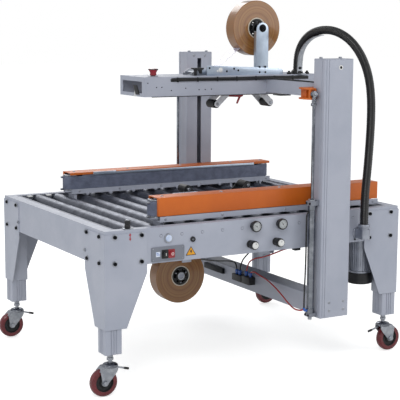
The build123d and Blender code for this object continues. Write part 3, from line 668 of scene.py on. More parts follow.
# ---- tape rolls: wound film on a board core, with a three-armed hub
roll = {"outer": 112.0, "inner": 42.0, "core": 38.0, "half": 30.0,
        "film": {"colour": "#8f5f30", "shade": "#734a26", "light": "#a87a45", "ring": 0.9, "band": 11.0}}
for name, centre, body in (("upper", (262.0, 0.0, 1303.0), "upper_tape_roll"),
                           ("lower", (-91.0, 0.0, 300.0), "lower_tape_roll")):
    film = woundTape(name + "WoundFilm", centre, roll["film"])
    material[name + "WoundFilm"] = film
    shape = bmesh.new()
    half, outer, inner = roll["half"], roll["outer"], roll["inner"]
    side = [(inner + (outer - inner) * k / 10, 0.5 * (k % 2)) for k in range(11)]
    outline = [(r, -half + d) for r, d in side[:-1]] + [(outer - 1.2, -half), (outer, -half + 1.2)]
    outline += [(outer, half - 1.2), (outer - 1.2, half)] + [(r, half - d) for r, d in side[-2::-1]]
    addTurned(shape, centre, alongY, outline, 96)
    tapePiece = makePiece(name + "TapeFilm", shape, name + "WoundFilm", body)
    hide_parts(name + "_tape_roll")
    shape = bmesh.new()
    addTurned(shape, centre, alongY, [(roll["core"], -half - 0.6), (inner, -half - 0.6), (inner, half + 0.6),
                                         (roll["core"], half + 0.6)], 64)
    makePiece(name + "BoardCore", shape, "coreBoard", body, 0.5)
    shape = bmesh.new()
    addTurned(shape, centre, alongY, [(10.05, -half - 4), (19, -half - 4), (21, -half - 2), (21, half + 2),
                                         (19, half + 4), (10.05, half + 4)], 32)
    for y in (-half + 1, half - 7):
        addTurned(shape, (centre[0], centre[1] + y, centre[2]), alongY,
                  ringOf(30.5, 37.5, 6), 40)
        for k in range(3):
            turn = math.radians(90 + 120 * k)
            along, across = Vector((math.cos(turn), 0, math.sin(turn))), Vector((-math.sin(turn), 0,
                    math.cos(turn)))
            corners = [Vector(centre) + along * a + across * b for a,
                       b in ((18, -6), (33, -9), (33, 9), (18, 6))]
            addPlate(shape, [(c.x, c.z) for c in corners], "y", centre[1] + y, centre[1] + y + 6)
    makePiece(name + "RollHub", shape, "blackNylon", body, 0.6)
    shape = bmesh.new()
    addTurned(shape, (centre[0], centre[1] - half - 4.2, centre[2]), toFront,
              ringOf(10.3, 16, 1.6), 24)
    for k in range(3):
        turn = math.radians(30 + 120 * k)
        place = (centre[0] + 26 * math.cos(turn), centre[1] - half + 1, centre[2] + 26 * math.sin(turn))
        addTurned(shape, place, toFront, capOf(3.2, 4, 2.2, 5), 12, False)
    makePiece(name + "HubClip", shape, "zincPlate", body, 0.3)
print("tape rolls made")


onBeam = 1115.1  # just above the beam's top sheet
rodX, rodY, eyeZ = 201, 534.0, 1061.5  # the lift rods and the eyes on them


# ---- mast that holds the upper roll, and the bright plate that it stands on
mast = {"x": 262.0, "half": 29.0, "depth": 20.0, "wall": 3.0, "face": -75.0, "foot": 1125.0, "top": 1303.0}
mastFront = mast["face"]
shape = bmesh.new()
rounded = [(mast["x"] - mast["half"], mast["foot"]), (mast["x"] + mast["half"], mast["foot"])]
rounded += [(mast["x"] + mast["half"] * math.cos(a), mast["top"] - 6 + mast["half"] * math.sin(a))
            for a in (math.pi * k / 16 for k in range(17))]
addPlate(shape, rounded, "y", mastFront, mastFront + mast["wall"])
for edge in (-1, 1):
    x = mast["x"] + edge * mast["half"]
    addBox(shape, sorted((x, x - edge * mast["wall"])), (mastFront + 2.5, mastFront + mast["depth"]),
           (mast["foot"], mast["top"] - 12))
mastPiece = makePiece("rollMast", shape, "mastSteel", "head", 1.2)
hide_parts("tape_mast")
shape = bmesh.new()
plateOutline = [(0, 1115.2), (362, 1115.2), (362, 1134), (340, 1141), (40, 1154), (4, 1154), (0, 1150)]
addPlate(shape, roundedPath(plateOutline, [0, 0, 4, 6, 6, 3, 3], 4), "y", mastFront - 3.2, mastFront - 0.2)
addBox(shape, (8, 354), (mastFront - 0.4, mastFront + 16), (onBeam, 1117.6))
makePiece("mastSidePlate", shape, "mastSteel", "head", 0.6)
shape = bmesh.new()
addRod(shape, (mast["x"], mastFront - 3, mast["top"]), (mast["x"], 36, mast["top"]), 9.9, 32, 1.0)
addTurned(shape, (mast["x"], -38, mast["top"]), alongY, ringOf(9.95, 18, 3.4), 32)
addTurned(shape, (mast["x"], mastFront - 0.2, mast["top"]), toFront,
          [(5, 0), (15, 0), (16, 1.2), (15, 2.4), (9, 2.8), (9, 6),
                                                          (5, 6)], 24)
makePiece("rollSpindle", shape, "blackSteel", "head", 0.4)
plateFace = mastFront - 3.4
screws = [((x, plateFace, z), toFront) for x, z in (
    (248, 1146), (276, 1146), (248, 1125), (276, 1125), (12, 1145), (126, 1141), (92, 1131), (146, 1134))]
placeCopies("plateScrews", domeScrew(4.2, 2.6), screws, "blackSteel", "head")
shape = bmesh.new()
addTurned(shape, (mast["x"], mastFront - 5.8, mast["top"]), toFront, capOf(4.6, 3.0, 3.6, 3.8), 6, False)
makePiece("spindleBolt", shape, "blackSteel", "head", 0.3)
shape = bmesh.new()
addTurned(shape, (62, plateFace, 1137), toFront,
          [(0, 0), (9.5, 0), (9.5, 2.2), (8.6, 3.0), (4, 3.0), (4, 5.4),
                                                         (0, 5.4)], 20, False)
addTurned(shape, (48, plateFace, 1133), toFront, discOf(4, 2.4), 12, False)
makePiece("plateBoss", shape, "whiteNylon", "head", 0.3)

# tape running from the roll down to the head, thin and half clear
shape = bmesh.new()
start, end = Vector((186, 0, 1223)), Vector((60, 0, 1128))
run = (end - start).normalized()
lift = Vector((-run.z, 0, run.x)) * 0.4
corners = [start + lift, end + lift, end - lift, start - lift]
addPlate(shape, [(c.x, c.z) for c in corners], "y", -26, 26)
makePiece("tapeWeb", shape, "tapeWeb", "head")

# tape guides and the black lever on top of the beam, by the slot
shape = bmesh.new()
for y in (-34, 34):
    addPlate(shape, [(-48, 1115.2), (70, 1115.2), (74, 1126), (56, 1140), (-20, 1140), (-48, 1124)], "y",
             y - 1.5, y + 1.5)
addRod(shape, (60, -36, 1129), (60, 36, 1129), 5.0, 20, 0.8)
addRod(shape, (-26, -36, 1126), (-26, 36, 1126), 5.0, 20, 0.8)
addBox(shape, (-44, -10), (-33, 33), (onBeam, 1118))
makePiece("tapeGuide", shape, "zincPlate", "head", 0.5)
shape = bmesh.new()
addPlate(shape, roundedPath([(-58, 1146), (-6, 1146), (-6, 1140), (-14, 1137), (-14, 1122), (-20, 1122),
                             (-26, 1136),
                             (-38, 1136), (-38, 1115.2), (-46, 1115.2), (-46, 1138), (-58, 1141)], 1.4, 3),
         "y", -64, -50)
addRod(shape, (-42, -66, 1128), (-42, -48, 1128), 3.6, 16, 0.5)
makePiece("tensionLever", shape, "blackNylon", "head", 0.8)
print("mast and tape path made")


# ---- head beam: holes, edge trims, cables along its front, end stop plate
beam = {"holes": [(-279, 1092, 2.6), (-241, 1075, 2.2), (-218, 1075, 2.2), (-176, 1062, 3.4),
                  (-112, 1069, 1.9), (-52, 1062, 2.4), (-24, 1062, 2.2), (4, 1063, 2.4), (440, 1060, 2.2)],
        "cableTop": 1104.0, "cableStart": -176.0, "cableEnd": 470.0}
placeCopies("beamScrews", domeScrew(1.0, 0.7), [((x, -106.5, z), toFront) for x, z, r in beam["holes"]],
            "blackSteel", "head", 2.4)
shape = bmesh.new()
addBox(shape, (-262, 508), (-107.6, -104), (1036.2, 1039.2))
addBox(shape, (-262, 508), (104, 107.6), (1036.2, 1039.2))
makePiece("beamEdgeTrim", shape, "blackNylon", "head", 0.6)
shape = bmesh.new()
addPlate(shape, [(-66, 1046), (-34, 1046), (-12, 1082), (-46, 1082)], "x", -296.5, -293.8)
makePiece("beamEndPlate", shape, "blackNylon", "head", 0.5)
shape = bmesh.new()
addPlate(shape, [(-30, 1040), (-24, 1040), (-24, 1062), (-30, 1062)], "x", -296, -293)
addPlate(shape, [(-44, 1037.5), (-16, 1037.5), (-16, 1041), (-44, 1041)], "x", -297, -292)
makePiece("beamEndClip", shape, "whiteNylon", "head", 0.4)
top = beam["cableTop"]
for number, (lift, out, size) in enumerate(((0, 3.6, 3.6), (-5.6, 3.2, 3.0), (3.6, 2.4, 2.4))):
    points = [(beam["cableStart"] - 6, -100.5, top + lift - 2),
              (beam["cableStart"], -106.5 - out, top + lift)]
    points += [(x, -106.5 - out - 0.5 * ((k + number) % 2), top + lift + 0.8 * math.sin(k + number))
               for k, x in enumerate(range(-120, 440, 70))]
    points += [(beam["cableEnd"] - 20 + 4 * number, -106.5 - out, top + lift),
               (beam["cableEnd"], -104, top + lift - 1)]
    addTube("beamCable%d" % (number + 1), points, size, "blackNylon", "head")
addTube("columnCable", [(120, -110, 1099), (190, -110.5, 1099), (236, -112, 1099), (262, -140, 1101),
                        (268, -190, 1101.5),
                        (270, -260, 1101.5), (270, -340, 1101.5), (268, -410, 1101.5), (264, -452, 1101),
                        (254, -476, 1096), (246, -490, 1088)], 3.0, "blackNylon", "head")
shape = bmesh.new()
for x in (-150, -60, 30, 120, 210, 300, 390):
    addBox(shape, (x - 1.6, x + 1.6), (-115.6, -106), (top - 10, top + 7.5))
makePiece("cableTies", shape, "blackNylon", "head", 0.5)

# emergency stop: mushroom head with a dark rim, on a collar
stop = {"x": -232.0, "y": -60.0, "base": 1120.0}
shape = bmesh.new()
addTurned(shape, (stop["x"], stop["y"], stop["base"]), alongZ,
          [(0, 0), (12.6, 0), (13.0, 1), (12.2, 9), (14.6, 15), (18.6, 21), (19.4, 23), (18.6, 25),
           (15, 25.8), (0, 26)],
          40, False)
mushroom = makePiece("stopMushroom", shape, "buttonRed", "emergency_stop")
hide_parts("emergency_stop")
shape = bmesh.new()
addTurned(shape, (stop["x"], stop["y"], stop["base"]), alongZ,
          [(18.9, 20.8), (20.0, 21.6), (20.0, 24.0), (18.9, 24.8)], 40)
addRod(shape, (stop["x"], stop["y"], 1100), (stop["x"], stop["y"], stop["base"] + 0.3), 8.9, 24, 0.4)
makePiece("stopRim", shape, "blackNylon", "emergency_stop")
shape = bmesh.new()
addTurned(shape, (stop["x"], stop["y"], 1115.05), alongZ,
          [(13.8, 0), (20, 0), (20, 1.6), (18, 3.2), (14.6, 3.6),
                                                            (13.8, 3.2)], 32)
makePiece("stopCollar", shape, "zincPlate", "head", 0.3)

# hose gland nut, the strap that carries the hose, and its bolts
gland = {"x": 429.0, "y": -82.0}
shape = bmesh.new()
addTurned(shape, (gland["x"], gland["y"], onBeam), alongZ,
          [(17.4, 0), (27, 0), (27, 3), (24.5, 4), (24.5, 12), (22, 15), (19.6, 17.6), (17.4, 17.6)], 12)
addTurned(shape, (gland["x"], gland["y"], 1117), alongZ, ringOf(23.4, 26, 6), 12)
makePiece("hoseGland", shape, "blackNylon", "head", 0.6)
shape = bmesh.new()
for x in (384, 474):
    addTurned(shape, (x, -90, onBeam), alongZ, [(0, 0), (9.4, 0), (9.4, 8), (5, 9), (5, 14), (0, 14)], 6,
              False)
makePiece("topFittings", shape, "blackNylon", "head", 0.5)
strap = {"half": 13.0, "thick": 3.0, "gap": 18.5}
strapLine = [Vector(p) * 1000 for p in hosePath if p[2] > 1.13 and p[1] > -0.262][::4]
inner = []
for k, here in enumerate(strapLine):
    ahead = strapLine[min(k + 1, len(strapLine) - 1)] - strapLine[max(k - 1, 0)]
    inward = Vector((0, -ahead.z, ahead.y)).normalized() * -1
    if inward.z > 0.2:
        inward = -inward
    if k < 3:
        inward = Vector((0, -1, 0))
    inner.append(here + inward * strap["gap"])
inner = [Vector((inner[0].x, inner[0].y - 1, 1116))] + inner
shape = bmesh.new()
rows = []
for k, here in enumerate(inner):
    ahead = (inner[min(k + 1, len(inner) - 1)] - inner[max(k - 1, 0)]).normalized()
    across = Vector((1, 0, 0))
    out = across.cross(ahead).normalized()
    width = strap["half"] * (1 - 0.35 * k / len(inner))
    rows.append([shape.verts.new(here + across * a + out * b) for a, b in
                 ((-width, 0), (width, 0), (width, strap["thick"]), (-width, strap["thick"]))])
for first, second in zip(rows, rows[1:]):
    for i in range(4):
        shape.faces.new((first[i], first[(i + 1) % 4], second[(i + 1) % 4], second[i]))
shape.faces.new(rows[0][::-1])
shape.faces.new(rows[-1])
addBox(shape, (416, 442), (-130, -100), (onBeam, 1118.6))
makePiece("hoseStrap", shape, "zincPlate", "head", 0.5)
placeCopies("strapBolts", hexNut(10, 5, 1.2),
            [((429, -118, 1118.6), alongZ), ((429, -105, 1140), (0, -1, 0.1))],
            "blackSteel", "head")
print("head details made")


# ---- yokes and rod eyes
for side in (-1, 1):
    label = "Front" if side < 0 else "Back"
    shape = bmesh.new()
    yMid = side * rodY
    yokeOutline = roundedPath([(262, 484), (262, 431), (214, 431), (184, 452), (184, 500), (196, 526),
                               (217, 526), (217, 484)], [0, 0, 14, 14, 8, 6, 3, 3], 5)
    for z in (1039.6, 1077.5):
        addPlate(shape, [(x, side * y) for x, y in yokeOutline], "z", z, z + 6)
    wall = roundedPath([(262, 484), (262, 478), (210, 478), (210, 520), (214, 526), (217, 526), (217, 484)],
                       0, 1)
    addPlate(shape, [(x, side * y) for x, y in wall], "z", 1045, 1078)
    addPlate(shape, [(x, side * y) for x, y in ((262, 431), (216, 431), (216, 437), (262, 437))], "z", 1045,
             1078)
    addRod(shape, (rodX, side * 516, eyeZ), (rodX, side * 546, eyeZ), 5.0, 20, 0.5)
    addPlate(shape, [(x, side * y) for x, y in ((192, 512), (210, 512), (210, 520), (192, 520))], "z", 1045,
             1078)
    addBox(shape, (206, 258), sorted((side * 440.0, side * 476.0)), (1045.2, 1077.8))
    yoke = makePiece("liftYoke" + label, shape, "sealOrange", "head", 1.2)
    if side < 0:
        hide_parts("lift_yokes")
    shape = bmesh.new()
    addTurned(shape, (rodX, side * 541.5, eyeZ), (0, side, 0),
              [(5.1, 0), (11, 0), (11, 2.4), (7, 3), (7, 6), (5.1, 6)], 24)
    addTurned(shape, (rodX, side * 547, eyeZ), (0, side, 0), capOf(6.4, 3.4, 5.4, 4.4), 6, False)
    addRod(shape, (240, side * 458, 1045), (240, side * 458, 1078), 5, 12, 0.5)
    makePiece("yokePin" + label, shape, "zincPlate", "head", 0.3)
    shape = bmesh.new()
    addTurned(shape, (rodX, yMid, eyeZ), alongY,
              [(5.3, -7), (8.4, -7.4), (12.4, -6.2), (13.2, 0), (12.4, 6.2),
                                                      (8.4, 7.4), (5.3, 7)], 32)
    addTurned(shape, (rodX, yMid, 1029), alongZ,
              [(0, 0), (8.4, 0), (8.4, 12), (6.8, 14), (6.4, 24), (0, 24)], 20, False)
    addTurned(shape, (rodX, yMid, 1017), alongZ,
              [(0, 0), (11.4, 0), (12, 1), (12, 10), (11.4, 11), (0, 11)], 6, False)
    addRod(shape, (rodX, yMid, 660), (rodX, yMid, 1030), 6, 24)
    addRod(shape, (rodX, yMid, 586), (rodX, yMid, 662), 6, 24)
    addRod(shape, (rodX, yMid, 585), (rodX, yMid, 600), 12.4, 32)
    rod = makePiece("liftRod" + label, shape, "hardChrome", "head", 0.3)
    if side < 0:
        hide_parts("lift_rods")
print("yokes and rods made")


# ---- press arms of both taping heads: white links, rubber rollers and their pins
arms = [("upper_front_arm", (74, 997), (170, 1085), "armWhite"),
        ("upper_rear_arm", (331, 997), (240, 1085), "armWhite"),
        ("lower_front_arm", (-57, 655), (40, 560), "blackCoat"),
        ("lower_rear_arm", (225, 655), (130, 560), "blackCoat")]
for body, press, pivot, finish in arms:
    words = body.split("_")
    label = words[0] + "".join(w.capitalize() for w in words[1:])
    run = Vector((pivot[0] - press[0], pivot[1] - press[1])).normalized()
    shape = bmesh.new()
    for y in (-36, 33):
        angle = math.atan2(run.y, run.x)
        outline = [(pivot[0] + 13 * math.cos(angle + a), pivot[1] + 13 * math.sin(angle + a))
                    for a in (-math.pi / 2 + math.pi * k / 12 for k in range(13))]
        outline += [(press[0] + 13 * math.cos(angle + a), press[1] + 13 * math.sin(angle + a))
                    for a in (math.pi / 2 + math.pi * k / 12 for k in range(13))]
        addPlate(shape, outline, "y", y, y + 3)
    addTurned(shape, (pivot[0], -33.2, pivot[1]), alongY, ringOf(6.1, 11, 66.4), 28)
    plates = makePiece(label + "Plates", shape, finish, body, 0.8)
    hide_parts(body)
    shape = bmesh.new()
    addTurned(shape, (press[0], -30, press[1]), alongY,
              [(5.2, 0), (15.4, 0), (17, 1.6), (17, 58.4), (15.4, 60), (5.2, 60)], 36)
    makePiece(label + "Roller", shape, "pressRubber", body)
    shape = bmesh.new()
    addRod(shape, (press[0], -35.8, press[1]), (press[0], 35.8, press[1]), 5, 20)
    for y, way in ((-36, -1), (36, 1)):
        addTurned(shape, (press[0], y, press[1]), (0, way, 0), capOf(6.4, 2.4, 5, 3.4), 18, False)
    makePiece(label + "Pin", shape, "zincPlate", body)

# knife guard and stop plate under the head
shape = bmesh.new()
addPlate(shape, [(131, 1030), (203, 1030), (203, 1025), (192, 1022), (178, 995), (171, 996), (182, 1022),
                 (131, 1025)],
         "y", -24, -20)
addPlate(shape, [(131, 1030), (203, 1030), (203, 1026), (131, 1026)], "y", -24, 24)
makePiece("knifeGuard", shape, "guardRed", "head", 0.4)
shape = bmesh.new()
addBox(shape, (384, 436), (-30, 30), (1022, 1026))
addBox(shape, (422, 434), (-26, -20), (1025.5, 1060))
makePiece("tapeRest", shape, "blackNylon", "head", 0.5)
print("press arms made")


# ---- side belts: a belt with lengthwise ribs swept round its loop, folded covers, channel, feet and screws
belt = {"xs": (-391.0, 552.0), "mid": 392.0, "inside": 30.0, "low": 628.0, "high": 682.0, "ribs": 9,
        "ribDepth": 1.1}
ribStep = (belt["high"] - belt["low"]) / belt["ribs"]
beltSection = [(0.05, 0.2), (0.05, belt["high"] - belt["low"] - 0.2)]
for k in range(belt["ribs"] - 1, -1, -1):
    beltSection += [(4.0, (k + 0.93) * ribStep), (4.0, (k + 0.30) * ribStep),
                    (4.0 - belt["ribDepth"], (k + 0.24) * ribStep),
                    (4.0 - belt["ribDepth"], (k + 0.02) * ribStep)]
cover = {"front": -406.0, "end": 586.0, "top": 697.0, "under": 694.0, "wallFoot": 629.0}
for side, label, body in ((-1, "Front", "belt_unit_front"), (1, "Back", "belt_unit_back")):
    unit = label.lower()
    mid = side * belt["mid"]
    turnSteps = 20
    loop = [(belt["xs"][1] + belt["inside"] * math.sin(a), mid + belt["inside"] * math.cos(a), belt["low"])
            for a in (math.pi * k / turnSteps for k in range(turnSteps + 1))]
    loop += [(belt["xs"][0] - belt["inside"] * math.sin(a), mid - belt["inside"] * math.cos(a), belt["low"])
             for a in (math.pi * k / turnSteps for k in range(turnSteps + 1))]
    outline = [(-a, b) for a, b in beltSection]
    loopPiece = sweepPiece("ribbedBelt" + label, loop, outline, "beltRubber", body, True, 50)
    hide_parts("side_belt_" + unit)

    # cover: top sheet, outer wall and short end returns, as one folded shell
    def across(*values):
        return sorted(side * v for v in values)
    shape = bmesh.new()
    addBox(shape, (cover["front"], cover["end"]), across(360.0, 440.0), (cover["under"], cover["top"]))
    addBox(shape, (cover["front"], cover["end"]), across(437.0, 440.0),
           (cover["wallFoot"], cover["under"] + 0.5))
    addBox(shape, (cover["front"], cover["front"] + 3), across(426.0, 437.4),
           (cover["wallFoot"], cover["under"] + 0.5))
    addBox(shape, (cover["end"] - 3, cover["end"]), across(426.0, 437.4),
           (cover["wallFoot"], cover["under"] + 0.5))
    addBox(shape, (cover["front"], cover["end"]), across(360.0, 363.0),
           (cover["under"] - 7, cover["under"] + 0.5))
    shell = makePiece("beltCover" + label, shape, "sealOrange", body, 0.9)
    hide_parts("belt_cover_" + unit)
    placeCopies("coverScrews" + label, domeScrew(6.2, 3.2),
                [((x, side * 400.0, cover["top"]), alongZ) for x in (-372, -120, 140, 400, 556)],
                "zincPlate", body)

    # pulley pins, belt guide plates, tension plate, and the feet of the channel
    shape = bmesh.new()
    for x in belt["xs"]:
        addTurned(shape, (x, mid, 690), alongZ, capOf(11, 2, 8, 3.4), 24, False)
        addTurned(shape, (x, mid, 622), alongZ, capOf(31.6, 3, 29.5, 4.6), 40, False)
        addTurned(shape, (x, mid, 683.5), alongZ, capOf(31.6, 3, 29.5, 4.6), 40, False)
    makePiece("pulleyFlanges" + label, shape, "zincPlate", body, 0.3)
    shape = bmesh.new()
    addBox(shape, (-296, 500), across(357.2, 360.4), (684, 693.6))
    addBox(shape, (-303, -197), across(352.6, 357.0), (686, 697.6))
    makePiece("beltGuide" + label, shape, "mastSteel", body, 0.4)
    shape = bmesh.new()
    for x in (-330, -222, -114, -6, 102, 210, 318, 426, 534):
        addBox(shape, (x - 7, x + 7), across(352.6, 356.2), (603.5, 613))
        addBox(shape, (x - 4, x + 4), across(353.2, 358.0), (600.8, 604))
    makePiece("channelFeet" + label, shape, "frameGrey", body, 0.6)
    placeCopies("channelScrews" + label, domeScrew(4.2, 2.4),
                [((x, side * 356.0, 619.0), (0, -side, 0)) for x in (-366, -180, 20, 220, 420, 566)]
                + [((x, side * 444.0, 618.0), (0, side, 0)) for x in (-380, -140, 140, 400, 560)],
                "zincPlate", body)
    shape = bmesh.new()
    for z in (626.0, 677.0):
        addTurned(shape, (-431 if z > 650 else -433, side * 400.0, z), (-1, 0, 0),
                  [(0, -14), (4.6, -14), (4.6, 0),
                                                                                (3.4, 1.2), (0, 1.2)], 16,
                  False)
    addBox(shape, (-420, -402), across(394.0, 406.0), (620, 631))
    addBox(shape, (-420, -402), across(394.0, 406.0), (672, 683))
    makePiece("tensionPins" + label, shape, "zincPlate", body, 0.5)
print("side belts made")


# ---- gear motors under the outfeed end: fins along the body, fan cover with a grille, terminal box
motor = {"x": 524.0, "y": 418.0, "low": 285.0, "fanTop": 330.0, "top": 502.0, "radius": 45.0, "fins": 32}
for side, label, body in ((-1, "Front", "belt_unit_front"), (1, "Back", "belt_unit_back")):
    unit = label.lower()
    yMid = side * motor["y"]
    shape = bmesh.new()
    addTurned(shape, (motor["x"], yMid, motor["fanTop"]), alongZ,
              [(0, 0), (49, 0), (49, 8), (45, 10), (45, 158), (50, 160), (50, 172), (0, 172)], 64, False)
    motorPiece = makePiece("motorBody" + label, shape, "castAlloy", body, 0.8)
    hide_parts("belt_motor_" + unit)
    shape = bmesh.new()
    for k in range(motor["fins"]):
        a = 2 * math.pi * k / motor["fins"]
        out, wide = Vector((math.sin(a), math.cos(a), 0)), Vector((math.cos(a), -math.sin(a), 0))
        centre = Vector((motor["x"], yMid, 0))
        corners = [centre + out * r + wide * w for r, w in ((44, -1.3), (49.6, -0.8), (49.6, 0.8), (44, 1.3))]
        addPlate(shape, [(c.x, c.y) for c in corners], "z", motor["fanTop"] + 9.5, motor["fanTop"] + 158.5)
    makePiece("coolingFins" + label, shape, "castAlloy", body)
    shape = bmesh.new()
    addTurned(shape, (motor["x"], yMid, motor["low"]), alongZ,
              [(0, 3), (40, 3), (44, 0.4), (49, 2), (51.6, 6), (52, 12), (52, 45), (50, 46.5), (46, 46.5),
               (0, 46.5)], 64,
              False)
    for k in range(5):
        addTurned(shape, (motor["x"], yMid, motor["low"] + 1.2), alongZ,
                  ringOf(8 + 7 * k, 10.5 + 7 * k, 2.6), 40)
    makePiece("fanCover" + label, shape, "blackNylon", body, 0.6)
    shape = bmesh.new()
    gear = [(-36, 372), (-36, 440), (50, 440), (50, 372)]
    addPlate(shape, roundedPath([(motor["x"] + a, side * b) for a, b in gear], 8, 4), "z", 502, 532)
    addTurned(shape, (552, side * 392, 531.5), alongZ, [(0, 0), (19, 0), (19, 5), (12, 8), (12, 20), (8, 21),
                                                           (8, 76), (0, 76)], 32, False)
    makePiece("gearCase" + label, shape, "castAlloy", body, 1.5)
    placeCopies("gearBolts" + label, socketScrew(4.4, 4.5, 2.2),
                [((motor["x"] + a, side * b, 532), alongZ) for a,
                 b in ((-28, 380), (-28, 432), (42, 432), (14, 380))],
                "blackSteel", body)
    shape = bmesh.new()
    addPlate(shape, roundedPath([(motor["x"] - 30, side * 372), (motor["x"] + 30, side * 372),
                                 (motor["x"] + 30, side * 348), (motor["x"] - 30, side * 348)], 4, 3), "z",
             400, 462)
    makePiece("terminalBox" + label, shape, "blackNylon", body, 1.2)
print("motors made")


# ---- operator's panel: switch plate, buttons, lamp, lock, gauges, regulators, signs
panel = {"y": -496.0, "plate": (-465, -332, 477, 530), "lamp": (-396, 559), "lock": (-296, 547),
         "gauges": (-35.0, 81.0), "gaugeZ": 575.0, "gaugeRadius": 21.0, "knobs": (-50.0, 64.0),
         "knobZ": 507.0,
         "buttonZ": 503.0, "buttons": (("start_button", -412.0, "buttonBlack", "black_plastic"),
                                       ("stop_button", -385.0, "buttonRed", "red_plastic"))}
py = panel["y"]
x0, x1, z0, z1 = panel["plate"]
shape = bmesh.new()
addPlate(shape, roundedPath([(x0, z0), (x1, z0), (x1, z1), (x0, z1)], 4, 4), "y", py - 3.8, py + 0.2)
plate = makePiece("switchPlate", shape, "panelGrey", "frame", 0.6)
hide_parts("panel_fittings")
shape = bmesh.new()
addPlate(shape, [(-448, 495), (-431, 495), (-431, 513), (-448, 513)], "y", py - 4.4, py - 3.6)
makePiece("plateLabel", shape, "lampLens", "frame", 0.2)
shape = bmesh.new()
for a, b in (((-446, 501), (-433, 503)), ((-446, 506), (-438, 508))):
    addPlate(shape, [a, (b[0], a[1]), b, (a[0], b[1])], "y", py - 4.9, py - 4.2)
makePiece("plateLabelMarks", shape, "blueUrethane", "frame")
placeCopies("plateScrewsFront", domeScrew(2.6, 1.6), [((x, py - 3.8, z), toFront) for x in (x0 + 6, x1 - 6)
                                                      for z in (z0 + 6, z1 - 6)], "zincPlate", "frame")
for body, x, finish, slotName in panel["buttons"]:
    z = panel["buttonZ"]
    shape = bmesh.new()
    addTurned(shape, (x, py - 8.6, z), toFront,
              [(0, 0), (9.4, 0), (9.8, 0.8), (9.8, 4.6), (8.8, 5.8), (0, 6.0)], 32, False)
    addRod(shape, (x, py - 8.6, z), (x, py + 11, z), 4.9, 16)
    cap = makePiece(body.split("_")[0] + "Cap", shape, finish, body, 0.2)
    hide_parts(body)
    shape = bmesh.new()
    if finish == "buttonRed":
        addTurned(shape, (x, py - 14.4, z), toFront, ringOf(3.4, 5.2, 0.5), 24)
    else:
        addPlate(shape, [(x - 1, z - 5), (x + 1, z - 5), (x + 1, z + 5), (x - 1, z + 5)], "y", py - 14.9,
                 py - 14.4)
    makePiece(body.split("_")[0] + "Mark", shape, "whiteNylon", body)
    shape = bmesh.new()
    frameBox = [(x - 13, z - 16), (x + 13, z - 16), (x + 13, z + 16), (x - 13, z + 16)]
    addPlate(shape, roundedPath(frameBox, 3, 3), "y", py - 6.4, py - 3.6)
    makePiece(body.split("_")[0] + "Bezel", shape, "blackNylon" if finish == "buttonBlack" else "buttonRed",
              "frame", 0.5)
lx, lz = panel["lamp"]
shape = bmesh.new()
addTurned(shape, (lx, py, lz), toFront, [(12.5, -0.2), (17.4, -0.2), (18, 1), (17, 3.2), (12.5, 4.0)], 40)
makePiece("lampRing", shape, "zincPlate", "frame", 0.2)
shape = bmesh.new()
addTurned(shape, (lx, py, lz), toFront,
          [(0, -0.2), (12.5, -0.2), (12.6, 6), (10.5, 8.6), (6, 9.8), (0, 10)], 36, False)
makePiece("powerLamp", shape, "lampLens", "frame")
kx, kz = panel["lock"]
shape = bmesh.new()
addTurned(shape, (kx, py, kz), toFront, [(4.2, -0.2), (10, -0.2), (10, 3), (9, 6.4), (4.2, 7.2)], 32)
addBox(shape, (kx - 0.9, kx + 0.9), (py - 6.6, py - 1), (kz - 3.6, kz + 3.6))
makePiece("panelLock", shape, "blackNylon", "frame", 0.3)
shape = bmesh.new()
addTurned(shape, (kx, py - 1.5, kz), toFront, discOf(4.3, 4.2), 24, False)
makePiece("lockCore", shape, "zincPlate", "frame", 0.2)
for number, x in enumerate(panel["gauges"], 1):
    z, radius = panel["gaugeZ"], panel["gaugeRadius"]
    shape = bmesh.new()
    addTurned(shape, (x, py, z), toFront,
              [(0, -0.2), (16, -0.2), (16, 8), (radius - 1, 11), (radius, 13), (radius, 24),
                                              (radius - 1.2, 25.6), (radius - 3.4, 25.8),
               (radius - 3.8, 22.6), (0, 22.6)],
              48, False)
    makePiece("gaugeCase%d" % number, shape, "blackNylon", "frame", 0.2)
    shape = bmesh.new()
    addTurned(shape, (x, py - 22.5, z), toFront, discOf(radius - 4.1, 0.5), 40, False)
    makePiece("gaugeDial%d" % number, shape, "dialWhite", "frame")
    shape = bmesh.new()
    for k in range(21):
        a = math.radians(225 - 13.5 * k)
        size = 2.6 if k % 5 == 0 else 1.4
        along, wide = Vector((math.cos(a), math.sin(a))), Vector((-math.sin(a), math.cos(a)))
        centre = Vector((x, z))
        corners = [centre + along * r + wide * w for r, w in
                   ((14.6 - size, -0.3), (14.6, -0.3), (14.6, 0.3), (14.6 - size, 0.3))]
        addPlate(shape, [(c.x, c.y) for c in corners], "y", py - 23.25, py - 22.9)
    a = math.radians(150 if number == 1 else 120)
    along, wide = Vector((math.cos(a), math.sin(a))), Vector((-math.sin(a), math.cos(a)))
    tip = [Vector((x, z)) + along * r + wide * w for r, w in ((-4, -0.8), (12, -0.25), (12, 0.25), (-4, 0.8))]
    addPlate(shape, [(c.x, c.y) for c in tip], "y", py - 23.9, py - 23.4)
    addTurned(shape, (x, py - 22.9, z), toFront, discOf(1.8, 1.6), 16, False)
    makePiece("gaugeScale%d" % number, shape, "blackCoat", "frame")
    shape = bmesh.new()
    addTurned(shape, (x, py - 24.8, z), toFront, [(0, 0), (radius - 3.7, 0), (radius - 3.7, 0.8), (0, 1.0)],
              40, False)
    makePiece("gaugeLens%d" % number, shape, "clearLens", "frame")
